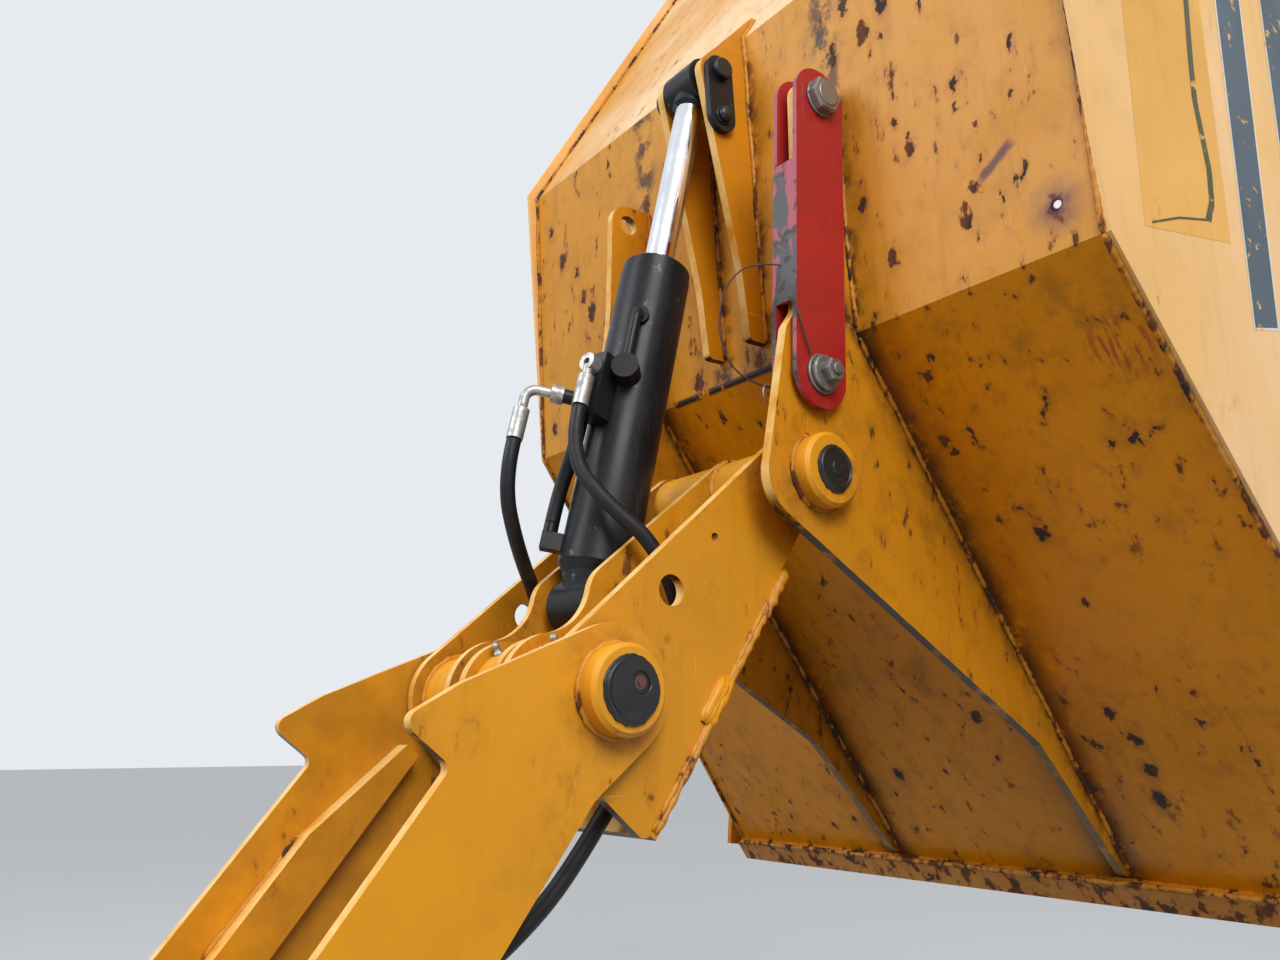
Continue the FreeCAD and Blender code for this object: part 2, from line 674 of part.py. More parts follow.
nut_start = branch_from + branch_way * (27 + s.weld_gap)
elbow_start, elbow_corner = nut_start + branch_way * 10, branch_from + branch_way * 70
elbow_end = elbow_corner + DOWN * (66 - s.ferrule + 2)
nut = rod_between(nut_start, nut_start + branch_way * 14, s.nut_radius)
elbow, _, _ = tube_along([elbow_start, elbow_corner, elbow_end], s.stub_radius)
far_hose_end = elbow_corner + DOWN * 66
far_ferrule = rod_between(far_hose_end - DOWN * s.ferrule, far_hose_end, s.ferrule_radius)
feature_of("ram_hose_fittings", port, Part.makeCompound([
    top_banjo.multiFuse([top_stem, top_ferrule]).cut(banjo_hole),
    side_banjo.multiFuse([side_stem, side_ferrule]),
    nut.multiFuse([elbow, far_ferrule]),
]))

# Base port low on the barrel's far side, its stub pointing up along the ram
base_turn = FreeCAD.Placement(V(0, 0, 0), FreeCAD.Rotation(V(1, 0, 0), -s.base_port_turn))
base_block = Part.makeBox(20, 16, s.barrel_radius + s.base_port_height + 8, V(s.base_port_at, -8, 0))
base_stub_at = V(s.base_port_at + 19, 0, s.barrel_radius + s.base_port_height)
base_stub = Part.makeCylinder(s.ferrule_radius - 1, 12, base_stub_at, V(1, 0, 0))
base_port = base_block.fuse(base_stub)
base_port.Placement = base_turn
saddle("ram_base_port", port, base_port)
base_port_end = base_turn.multVec(base_stub_at + V(12, 0, 0))


# Skip: three folded sheets between two flared sides, drawn level about the pivot

def folded(line, thickness, gap):
    """Profiles of the sheets along a bent line, mitred at its bends, thickness to the line's right."""
    headings = [(b - a).normalize() for a, b in zip(line, line[1:])]
    inner = []
    for index, point in enumerate(line):
        before = headings[max(index - 1, 0)]
        after = headings[min(index, len(headings) - 1)]
        mitre = (xz(before.z, -before.x) + xz(after.z, -after.x)).normalize()
        inner.append(point + mitre * (thickness / mitre.dot(xz(after.z, -after.x))))
    for index, along in enumerate(headings):
        trim = along * (gap / 2)
        yield polygon(line[index] + trim, line[index + 1] - trim, inner[index + 1] - trim, inner[index] + trim)


# Space between the sides: a wedge that widens away from the lower back's line
s.rail_length = s.floor_length - s.rail_inset
s.flare = math.tan(math.radians(s.flare_angle))
FLARE = "tan(Sizes.flare_angle * 1 deg)"
reach = 2500.0
between = doc.addObject("Part::Wedge", "BetweenSides")
between.Label = "between_sides"
between.setExpression("Xmax", "Sizes.skip_half_width - Sizes.weld_gap - 500 * " + FLARE)
between.setExpression("Xmin", "-Xmax")
between.setExpression("X2max", "Sizes.skip_half_width - Sizes.weld_gap + 2000 * " + FLARE)
between.setExpression("X2min", "-X2max")
between.Ymin, between.Ymax = -500, 2000
between.Zmin, between.Zmax, between.Z2min, between.Z2max = -reach, reach, -reach, reach
inward = FreeCAD.Vector(-back_out.x, 0, -back_out.z)
wedge_turn = FreeCAD.Rotation(FreeCAD.Vector(0, 1, 0), inward, FreeCAD.Vector(back_rise), "YXZ")
between.Placement = skip.multiply(FreeCAD.Placement(heel, wedge_turn))

skip_line = [lip, heel, bend, rim]
names = ("skip_floor", "skip_back_lower", "skip_back_upper")
for name, profile in zip(names, folded(skip_line, s.sheet, s.weld_gap)):
    body = new_body(name + "_blank", skip)
    PIECES.remove(body)
    pad(body, sketch_on(body, profile), "4 * Sizes.skip_half_width", middle=True)
    panel = doc.addObject("Part::Common", name)
    panel.Label = name
    panel.Base = body
    panel.Tool = between
    PIECES.append(panel)

# Sides: flat sheets that lean outwards from the lower back's line and stand proud of the back at bend and rim
lean = math.radians(s.flare_angle)
half_fold = math.radians(s.back_angle - s.upper_angle) / 2
bend_corner = bend + (back_out + upper_out).normalize() * (s.side_margin / math.cos(half_fold))
rim_corner = rim - xz(s.side_margin / math.sin(math.radians(s.upper_angle)), 0)
for name, side in SIDES:
    across = FreeCAD.Vector(inward.x * math.cos(lean), side * math.sin(lean), inward.z * math.cos(lean))
    up = FreeCAD.Vector(back_rise)
    turn = FreeCAD.Rotation(across, up.cross(across), up, "XZY")
    side_frame = skip.multiply(FreeCAD.Placement(heel + FreeCAD.Vector(0, side * s.skip_half_width, 0), turn))
    corners = []
    for point in (heel, lip, rim_front, rim_corner, bend_corner):
        span = point - heel
        corners.append(corner(xz(span.dot(inward) / math.cos(lean), span.dot(back_rise))))
    body = doc.addObject("PartDesign::Body", "skip_side_" + name)
    body.Label = "skip_side_" + name
    body.Placement = side_frame
    PIECES.append(body)
    pad(body, sketch_on(body, outline(*corners)), "Sizes.sheet", outward=side < 0)
    # rim bar along the open edge, on the outer face
    rim_body = doc.addObject("PartDesign::Body", "skip_rim_" + name)
    rim_body.Label = "skip_rim_" + name
    rim_body.Placement = side_frame.multiply(
        FreeCAD.Placement(FreeCAD.Vector(0, side * (s.sheet + s.weld_gap), 0), FreeCAD.Rotation()))
    PIECES.append(rim_body)
    edge = [corners[3].at, corners[2].at, corners[1].at]
    towards = [(b - a).normalize() for a, b in zip(edge, edge[1:])]
    inner_edge = []
    for index, point in enumerate(edge):
        before, after = towards[max(index - 1, 0)], towards[min(index, 1)]
        mitre = (xz(before.z, -before.x) + xz(after.z, -after.x)).normalize()
        inner_edge.append(point + mitre * (s.rim_width / mitre.dot(xz(after.z, -after.x))))
    strip = [corner(point) for point in inner_edge + edge[::-1]]
    pad(rim_body, sketch_on(rim_body, outline(*strip)), "Sizes.rim_depth", outward=side < 0)

lip_bar = new_body("skip_lip", skip)
lip_start = lip + xz(s.lip_overhang - s.lip_width, -s.weld_gap)
pad(lip_bar, sketch_on(lip_bar, polygon(lip_start, lip_start + xz(s.lip_width, 0),
                                        lip_start + xz(s.lip_width, -s.lip_depth), lip_start + xz(0, -s.lip_depth))),
    "2 * (Sizes.skip_half_width + 0.55 * Sizes.floor_length * %s)" % FLARE, middle=True)
rim_bar = new_body("skip_rim_back", skip)
pad(rim_bar, sketch_on(rim_bar, polygon(on_upper(s.upper_length, s.weld_gap), on_upper(s.upper_length, s.rim_depth),
                                        on_upper(s.upper_length - s.rim_width, s.rim_depth),
                                        on_upper(s.upper_length - s.rim_width, s.weld_gap))),
    "2 * (Sizes.skip_half_width + (Sizes.upper_length - Sizes.rim_width) * %s"
    " * sin((Sizes.back_angle - Sizes.upper_angle) * 1 deg) - Sizes.rim_depth)" % FLARE, middle=True)


# Hinge gussets under the floor and up the lower back

gap = s.weld_gap
gusset_outline = outline(
    corner(xz(-24, -87), 48),
    corner(on_floor(s.rail_length - s.rail_taper, s.rail_depth), 30),
    corner(on_floor(s.rail_length, s.rail_tip_depth), 6),
    corner(on_floor(s.rail_length + 4, gap)),
    corner(heel + (back_out + xz(0, -1)).normalize() * gap * 1.1),
    corner(on_back(s.strut_top_along + s.gusset_top_radius, gap)),
    pin(strut_top, s.gusset_top_radius),
    corner(beside_strut(210, 24), 150),
    corner(beside_strut(s.web_start - 8, s.strut_radius - s.strut_wall - 6), 12),
    corner(beside_strut(s.web_start - 32, s.strut_radius + 3), 12),
)
for name, side in SIDES:
    holes = [(xz(0, 0), PIN_HOLE % "skip_pin")]
    holes += [(point, PIN_HOLE % "strut_bolt") for point in (strut_top, strut_foot)]
    plate("skip_gusset_" + name, skip, gusset_outline, "Sizes.gusset", GUSSET_INNER, side, holes)
turned("skip_bosses", skip, xz(0, 0), *[
    boss_profile(s.skip_boss_radius, s.skip_pin / 2 + s.pin_fit, s.gusset_half + gap, s.skip_boss, side)
    for _, side in SIDES])
turned("skip_pivot_pin", skip, xz(0, 0), pin_profile(s.skip_pin / 2, s.gusset_half + gap + s.skip_boss + s.pin_end))

# Lugs for the rod pin, with its keeper plate
lug_outline = outline(
    corner(on_back(34, gap)),
    corner(on_back(s.back_length - gap, gap)),
    corner(on_upper(50, gap)),
    corner(on_upper(50, 6), 4),
    pin(rod_pin_at, s.lug_ear_radius),
    corner(on_back(130, 35), 200),
    corner(on_back(34, 28), 8),
)
for name, side in SIDES:
    plate("ram_lug_" + name, skip, lug_outline, "Sizes.lug", "Sizes.lug_gap / 2", side,
          ((rod_pin_at, PIN_HOLE % "ram_pin"),))
lug_outer = s.lug_inner + s.lug
keeper_start = lug_outer + gap
keeper_low = rod_pin_at - back_rise * 68
plate("rod_pin_keeper", skip, outline(pin(rod_pin_at, 22), pin(keeper_low, 22)), "Sizes.keeper",
      "Sizes.lug_gap / 2 + Sizes.lug + Sizes.weld_gap", -1, ((rod_pin_at, PIN_HOLE % "ram_pin"),))
rod_pin_end = keeper_start + s.keeper + 10
# the pin is waisted inside the rod's eye, which drifts about it while the skip tips
waist_end = s.lug_inner - 2
turned("rod_pin", skip, rod_pin_at,
       [(0, -rod_pin_end), (s.ram_pin / 2 - 2, -rod_pin_end), (s.ram_pin / 2, -rod_pin_end + 2),
        (s.ram_pin / 2, -waist_end), (s.pin_waist, -waist_end), (s.pin_waist, waist_end), (s.ram_pin / 2, waist_end),
        (s.ram_pin / 2, lug_outer + gap), (s.ram_pin / 2 + 8, lug_outer + gap), (s.ram_pin / 2 + 8, lug_outer + 8),
        (0, lug_outer + 8)])


# Safety strut: a channel over the right gusset, stowed on two bolts

strut_mid = s.gusset_half - s.gusset / 2
strut_frame = skip.multiply(frame_at(strut_foot, strut_rise))
strut = new_body("safety_strut", strut_frame, "-(Sizes.gusset_half - Sizes.gusset / 2)")
strut_end = xz(strut_line.Length, 0)
pad(strut, sketch_on(strut, outline(pin(xz(0, 0), s.strut_radius), pin(strut_end, s.strut_radius)),
                     ((xz(0, 0), PIN_HOLE % "strut_bolt"), (strut_end, PIN_HOLE % "strut_bolt"))),
    "Sizes.strut_width", middle=True)
# the channel's inside, open at the front; the web joins its two flanges at the rear, along the middle
web = s.strut_radius - s.strut_wall
past = s.strut_radius + 5
far_end = strut_line.Length + past
hollow = strut.newObject("PartDesign::Pocket", "StrutInside")
hollow.Profile = sketch_on(strut, polygon(xz(-past, -past), xz(far_end, -past), xz(far_end, past),
                                          xz(s.web_end, past), xz(s.web_end, web), xz(s.web_start, web),
                                          xz(s.web_start, past), xz(-past, past)))
hollow.Midplane = True
hollow.setExpression("Length", "Sizes.strut_width - 2 * Sizes.strut_wall")

strut_face = s.strut_width / 2
for name, at in (("strut_top_bolt", strut_top), ("strut_foot_pin", strut_foot)):
    outer, inner = strut_mid + strut_face + gap, strut_mid - strut_face - gap
    shank, headed = s.strut_bolt / 2, s.bolt_head_radius
    turned(name, skip, at, [(0, -outer - s.bolt_head), (headed - 3, -outer - s.bolt_head),
                            (headed, -outer - s.bolt_head + 3), (headed, -outer), (shank, -outer),
                            (shank, -inner), (headed - 2, -inner), (headed - 2, -inner + s.nut),
                            (0, -inner + s.nut)])


doc.recompute()


# Hoses, along straight runs and tangent arcs

def hose(label, points):
    solid, length, radii = tube_along(points, s.hose_radius)
    section = math.pi * s.hose_radius ** 2
    print(label, "length", round(length), "radii", radii, "volume ratio", round(solid.Volume / section / length, 3))
    feature_of(label, FreeCAD.Placement(), solid)


def bulkhead(end, before, wall, side):
    """Fitting that a hose ends in, on a bracket from the plate whose face stands at wall."""
    way = (end - before).normalize()
    half = s.nut_radius + 3
    middle = abs(end.y)
    turn = FreeCAD.Rotation(way, V(0, 1, 0), V(0, 0, 0), "XYZ")
    bracket = Part.makeBox(s.bracket, wall - s.weld_gap - middle + half, 2 * half,
                           V(s.stub, (middle - half) * side if side > 0 else -(wall - s.weld_gap), -half))
    bracket.Placement = FreeCAD.Placement(xz(end.x, end.z), turn)
    return bracket.fuse(Part.makeCylinder(s.ferrule_radius, s.stub + 1, end, way))


def radial_stub(centre, radius, rise, y):
    """Fitting that stands on a cross tube and the point where its hose meets it."""
    way = heading(rise)
    start = centre + way * (radius + s.weld_gap) + V(0, y, 0)
    return Part.makeCylinder(s.ferrule_radius, 2 * s.stub, start, way), start + way * 2 * s.stub


# From the ram down into the head: runs along the ram first, then between the head's plates
far_inside = [V(126, s.hose_spread / 2, 113), V(130, s.hose_spread, 26), V(102, s.hose_spread, -35)]
near_inside = [V(180, -66, 105), V(183, -s.hose_spread, 37), V(158, -s.hose_spread, -22)]
far_route = [port.multVec(far_hose_end), port.multVec(far_hose_end + DOWN * 52)]
far_route += [head.multVec(point) for point in far_inside]
near_route = [port.multVec(near_end), port.multVec(near_end + DOWN * 63)]
near_route += [head.multVec(point) for point in near_inside]
hose("hose_far", far_route)
hose("hose_near", near_route)
base_route = [port.multVec(point) for point in (
    base_end, base_end + DOWN * 41, base_port_end - DOWN * 41, base_port_end)]
hose("hose_base", base_route)

# From the near bulkhead an elbow turns the line along the head's front edge and on to the arm's brace tube
near_way = (near_inside[-1] - near_inside[-2]).normalize()
under_bracket = near_inside[-1] + near_way * (s.stub + s.bracket)
elbow_at = under_bracket + near_way * s.elbow_run
past_link = V(-23, -s.hose_spread, -105.5)
along_front = (past_link - elbow_at).normalize()
lock_nut = rod_between(under_bracket, under_bracket + near_way * 8, s.nut_radius)
bend_tube, _, _ = tube_along([under_bracket, elbow_at, elbow_at + along_front * 22], s.stub_radius)
arm_hose_start = elbow_at + along_front * (20 + s.ferrule)
front_ferrule = rod_between(elbow_at + along_front * 20, arm_hose_start, s.ferrule_radius)
front_fitting = lock_nut.multiFuse([bend_tube, front_ferrule])
front_fitting.Placement = head
feature_of("head_hose_fittings", FreeCAD.Placement(), Part.makeCompound([
    bulkhead(far_route[-1], far_route[-2], s.head_inner, 1),
    bulkhead(near_route[-1], near_route[-2], s.head_inner, -1).fuse(front_fitting),
]))
brace_stub, arm_end = radial_stub(arm.multVec(brace_centre), s.brace_radius, s.brace_stub_angle, -s.hose_spread)
hose("hose_arm", [head.multVec(arm_hose_start), head.multVec(past_link),
                  arm_end + heading(s.brace_stub_angle) * 139, arm_end])
feature_of("brace_hose_stub", FreeCAD.Placement(), brace_stub)

doc.recompute()
for item in doc.Objects:
    if "Invalid" in item.State or "Error" in item.State:
        raise RuntimeError("%s failed: %s" % (item.Name, item.State))
os.makedirs("parts", exist_ok=True)
for piece in PIECES:
    shape = piece.Shape
    if shape.isNull() or not shape.isValid() or not shape.Solids:
        raise RuntimeError("%s has no valid solid" % piece.Label)
    shape.exportStep(os.path.join("parts", piece.Label + ".step"))
for name, point in (("knuckle", knuckle), ("pivot", pivot), ("ram_foot", ram_foot),
                    ("rod_pin", skip.multVec(rod_pin_at)), ("lift_pin", arm.multVec(lift_pin_at)),
                    ("link_pin", head.multVec(link_pin_at)), ("strut_top", skip.multVec(strut_top)),
                    ("strut_foot", skip.multVec(strut_foot))):
    print(name, [round(value, 3) for value in point])
print(len(PIECES), "pieces, ram", round(ram_length, 2), round(ram_rise, 3))
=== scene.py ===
import json
import math
import random
import bpy
import bmesh
from mathutils import Matrix, Vector


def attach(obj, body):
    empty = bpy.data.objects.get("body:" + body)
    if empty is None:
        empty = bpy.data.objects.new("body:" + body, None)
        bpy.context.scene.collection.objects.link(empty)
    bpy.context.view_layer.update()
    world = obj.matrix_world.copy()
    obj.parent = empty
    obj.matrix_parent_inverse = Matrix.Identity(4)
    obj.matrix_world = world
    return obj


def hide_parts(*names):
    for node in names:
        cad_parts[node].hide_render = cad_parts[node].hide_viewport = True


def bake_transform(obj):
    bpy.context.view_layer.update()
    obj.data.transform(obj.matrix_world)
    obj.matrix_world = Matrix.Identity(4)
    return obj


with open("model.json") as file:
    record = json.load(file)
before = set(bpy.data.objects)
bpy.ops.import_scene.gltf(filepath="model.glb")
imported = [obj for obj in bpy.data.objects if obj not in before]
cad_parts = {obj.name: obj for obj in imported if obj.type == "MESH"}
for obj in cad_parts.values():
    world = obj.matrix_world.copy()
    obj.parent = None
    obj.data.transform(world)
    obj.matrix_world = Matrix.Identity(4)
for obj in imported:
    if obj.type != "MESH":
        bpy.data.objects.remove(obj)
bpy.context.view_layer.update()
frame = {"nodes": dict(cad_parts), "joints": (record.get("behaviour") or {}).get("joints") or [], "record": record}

nodes = frame["nodes"]

# Camera, standing low behind the machine's right side and looking up at the tipped skip

CAMERA_AT = (-0.123, -0.914, 0.511)
CAMERA_RIGHT = Vector((0.7933, -0.6087, 0.0)).normalized()
CAMERA_FORWARD = Vector((0.5890, 0.7676, 0.2521)).normalized()
SENSOR_WIDTH, FOCAL_LENGTH = 36.0, 28.125

scene = bpy.context.scene
scene.view_settings.view_transform = "Standard"
camera = bpy.data.objects.new("camera", bpy.data.cameras.new("camera"))
scene.collection.objects.link(camera)
scene.camera = camera
camera.data.sensor_width, camera.data.lens = SENSOR_WIDTH, FOCAL_LENGTH
camera.data.clip_start, camera.data.clip_end = 0.05, 60.0
camera_up = CAMERA_RIGHT.cross(CAMERA_FORWARD)
turn = Matrix((CAMERA_RIGHT, camera_up, -CAMERA_FORWARD)).transposed().to_4x4()
camera.matrix_world = Matrix.Translation(CAMERA_AT) @ turn

# Places of the object in its middle plane, in metres, and the ways its plates run

ACROSS = (0, 1, 0)
hinges = {joint["name"]: Vector(joint["pos_m"]) for joint in frame["joints"] if "pos_m" in joint}
FOOT, KNUCKLE, PIVOT = Vector((0, 0, 0)), hinges["head_level"], hinges["skip_tip"]
HEEL, BEND, RIM = Vector((0.7533, 0, 0.9791)), Vector((0.7253, 0, 1.4652)), Vector((1.1179, 0, 2.1507))
STRUT_TOP, STRUT_FOOT = Vector((0.695262, 0, 1.265205)), Vector((0.675533, 0, 0.905513))
ARM_WAY = KNUCKLE.normalized()
ARM_REAR = Vector((-ARM_WAY.z, 0, ARM_WAY.x))
FLOOR_WAY, FLOOR_OUT = Vector((0.6088, 0, -0.7934)), Vector((-0.7934, 0, -0.6088))
BACK_WAY, BACK_IN = Vector((-0.0576, 0, 0.9983)), Vector((0.9983, 0, 0.0576))
UPPER_WAY = Vector((0.4970, 0, 0.8678))
SIDE_AT_HEEL, SIDE_FLARE, SIDE_THICK = 0.5, 0.115, 0.00605
# Inner and outer face of the skip's gussets and of its lugs for the rod pin
GUSSET_FACES, LUG_FACES = (0.181, 0.193), (0.034, 0.046)


def out(point, y):
    """The point of the middle plane moved sideways to y."""
    return Vector((point.x, y, point.z))


def side_y(point):
    """Where the inner face of the skip's side stands: it flares forwards from the lower back."""
    return SIDE_AT_HEEL + SIDE_FLARE * (point - HEEL).dot(BACK_IN)


def on_plate(way, along, across):
    """A place on the skip's floor or lower back, in millimetres along the plate from the heel and across."""
    return out(HEEL + way * (0.001 * along), 0.001 * across)


# Materials

class Shader:
    """A new material and short ways to add nodes to it. Coordinates are the row's own, in metres."""

    def __init__(self, name, metallic=0.0, roughness=0.5):
        self.material = bpy.data.materials.new(name)
        self.material.use_nodes = True
        self.tree = self.material.node_tree
        self.surface = self.tree.nodes["Principled BSDF"]
        self.set("Metallic", metallic)
        self.set("Roughness", roughness)
        coordinates = self.tree.nodes.new("ShaderNodeTexCoord")
        self.place, self.normal = coordinates.outputs["Object"], coordinates.outputs["Normal"]
        self.bumps = None

    def node(self, kind, inputs=(), **settings):
        node = self.tree.nodes.new("ShaderNode" + kind)
        for name, value in settings.items():
            setattr(node, name, value)
        for name, value in dict(inputs).items():
            self.feed(node.inputs[name], value)
        return node

    def feed(self, socket, value):
        if isinstance(value, bpy.types.NodeSocket):
            self.tree.links.new(value, socket)
        else:
            socket.default_value = value

    def set(self, name, value):
        self.feed(self.surface.inputs[name], value)

    def stretched(self, scale, turn=(0, 0, 0)):
        """The place, scaled and turned, for textures that run along a way."""
        mapping = self.node("Mapping", {"Vector": self.place, "Scale": scale, "Rotation": turn})
        return mapping.outputs["Vector"]

    def noise(self, scale, detail=4.0, rough=0.55, place=None):
        inputs = {"Vector": place or self.place, "Scale": scale, "Detail": detail, "Roughness": rough}
        return self.node("TexNoise", inputs).outputs["Fac"]

    def ramp(self, value, start, end, first=0.0, last=1.0):
        """First where the value is start or beyond, last where it is end or beyond, and straight between."""
        inputs = {"Value": value, "From Min": start, "From Max": end, "To Min": first, "To Max": last}
        return self.node("MapRange", inputs, clamp=True).outputs["Result"]

    def math(self, operation, a, b=0.0):
        node = self.node("Math", {0: a, 1: b}, operation=operation)
        return node.outputs[0]

    def vector(self, operation, a, b):
        node = self.node("VectorMath", {0: a, 1: b}, operation=operation)
        return node.outputs[0]

    def distance(self, a, b):
        node = self.node("VectorMath", {0: a, 1: b}, operation="DISTANCE")
        return node.outputs["Value"]

    def times(self, *values):
        result = values[0]
        for value in values[1:]:
            result = self.math("MULTIPLY", result, value)
        return result

    def mix(self, factor, a, b):
        node = self.node("Mix", data_type="RGBA")
        self.feed(node.inputs[0], factor)
        self.feed(node.inputs[6], a)
        self.feed(node.inputs[7], b)
        return node.outputs[2]

    def bump(self, height, strength, distance=0.001):
        inputs = {"Height": height, "Strength": strength, "Distance": distance}
        if self.bumps:
            inputs["Normal"] = self.bumps
        self.bumps = self.node("Bump", inputs).outputs["Normal"]
        self.set("Normal", self.bumps)

    def along(self, way, source=None):
        """How far a place lies along a way, from the frame's origin."""
        dot = self.node("VectorMath", {0: source or self.place, 1: tuple(way)}, operation="DOT_PRODUCT")
        return dot.outputs["Value"]

    def sideways(self, source=None):
        """How far a place lies from the middle plane, or how far a face looks away from it."""
        return self.math("ABSOLUTE", self.along(ACROSS, source))

    def shaken(self, size, scale):
        """The place, moved about a little, for ragged outlines."""
        cloud = self.node("TexNoise", {"Vector": self.place, "Scale": scale, "Detail": 3.0}).outputs["Color"]
        half = self.vector("SUBTRACT", cloud, (0.5, 0.5, 0.5))
        push = self.node("VectorMath", {0: half, "Scale": size}, operation="SCALE").outputs[0]
        return self.vector("ADD", self.place, push)

    def near_any(self, marks, source):
        """0 at the middle of the nearest mark, 1 at its rim and more outside it. Marks are upright ovals."""
        least, tall = None, 0.6
        source = self.vector("MULTIPLY", source, (1, 1, tall))
        for (x, y, z), radius in marks:
            reach = self.math("DIVIDE", self.distance(source, (x, y, tall * z)), radius)
            least = self.math("MINIMUM", least, reach) if least else reach
        return least

    def beside(self, lines, start, end):
        """1 on the planes that stand at the given heights across the object, 0 beyond end from them."""
        across, least = self.sideways(), None
        for line in lines:
            away = self.math("ABSOLUTE", self.math("SUBTRACT", across, line))
            least = self.math("MINIMUM", least, away) if least else away
        return self.ramp(least, start, end, 1.0, 0.0)

    def round_axis(self, centre, start, end):
        """1 near an axis across the object, 0 beyond end from it."""
        flat = self.vector("MULTIPLY", self.place, (1, 0, 1))
        return self.ramp(self.distance(flat, tuple(centre)), start, end, 1.0, 0.0)


YELLOW, FADED, CREAM = (0.720, 0.302, 0.006, 1), (0.780, 0.400, 0.080, 1), (0.880, 0.580, 0.200, 1)
DIRT, GREASY = (0.220, 0.085, 0.008, 1), (0.130, 0.052, 0.008, 1)
STAIN, RUST, DARK = (0.400, 0.130, 0.010, 1), (0.130, 0.036, 0.008, 1), (0.022, 0.013, 0.009, 1)
# The third colour on the next line is the white of a painted glint.
SCORCHED, BURNT, PAINTED_GLINT = (0.150, 0.044, 0.036, 1), (0.150, 0.052, 0.062, 1), (0.900, 0.900, 0.920, 1)
# The second colour on the next line is painted shade for cut edges that look down.
SCRAPED, EDGE_SHADE = (0.330, 0.055, 0.018, 1), (0.026, 0.013, 0.006, 1)


def darker(colour, share):
    return tuple(share * c for c in colour[:3]) + (1,)


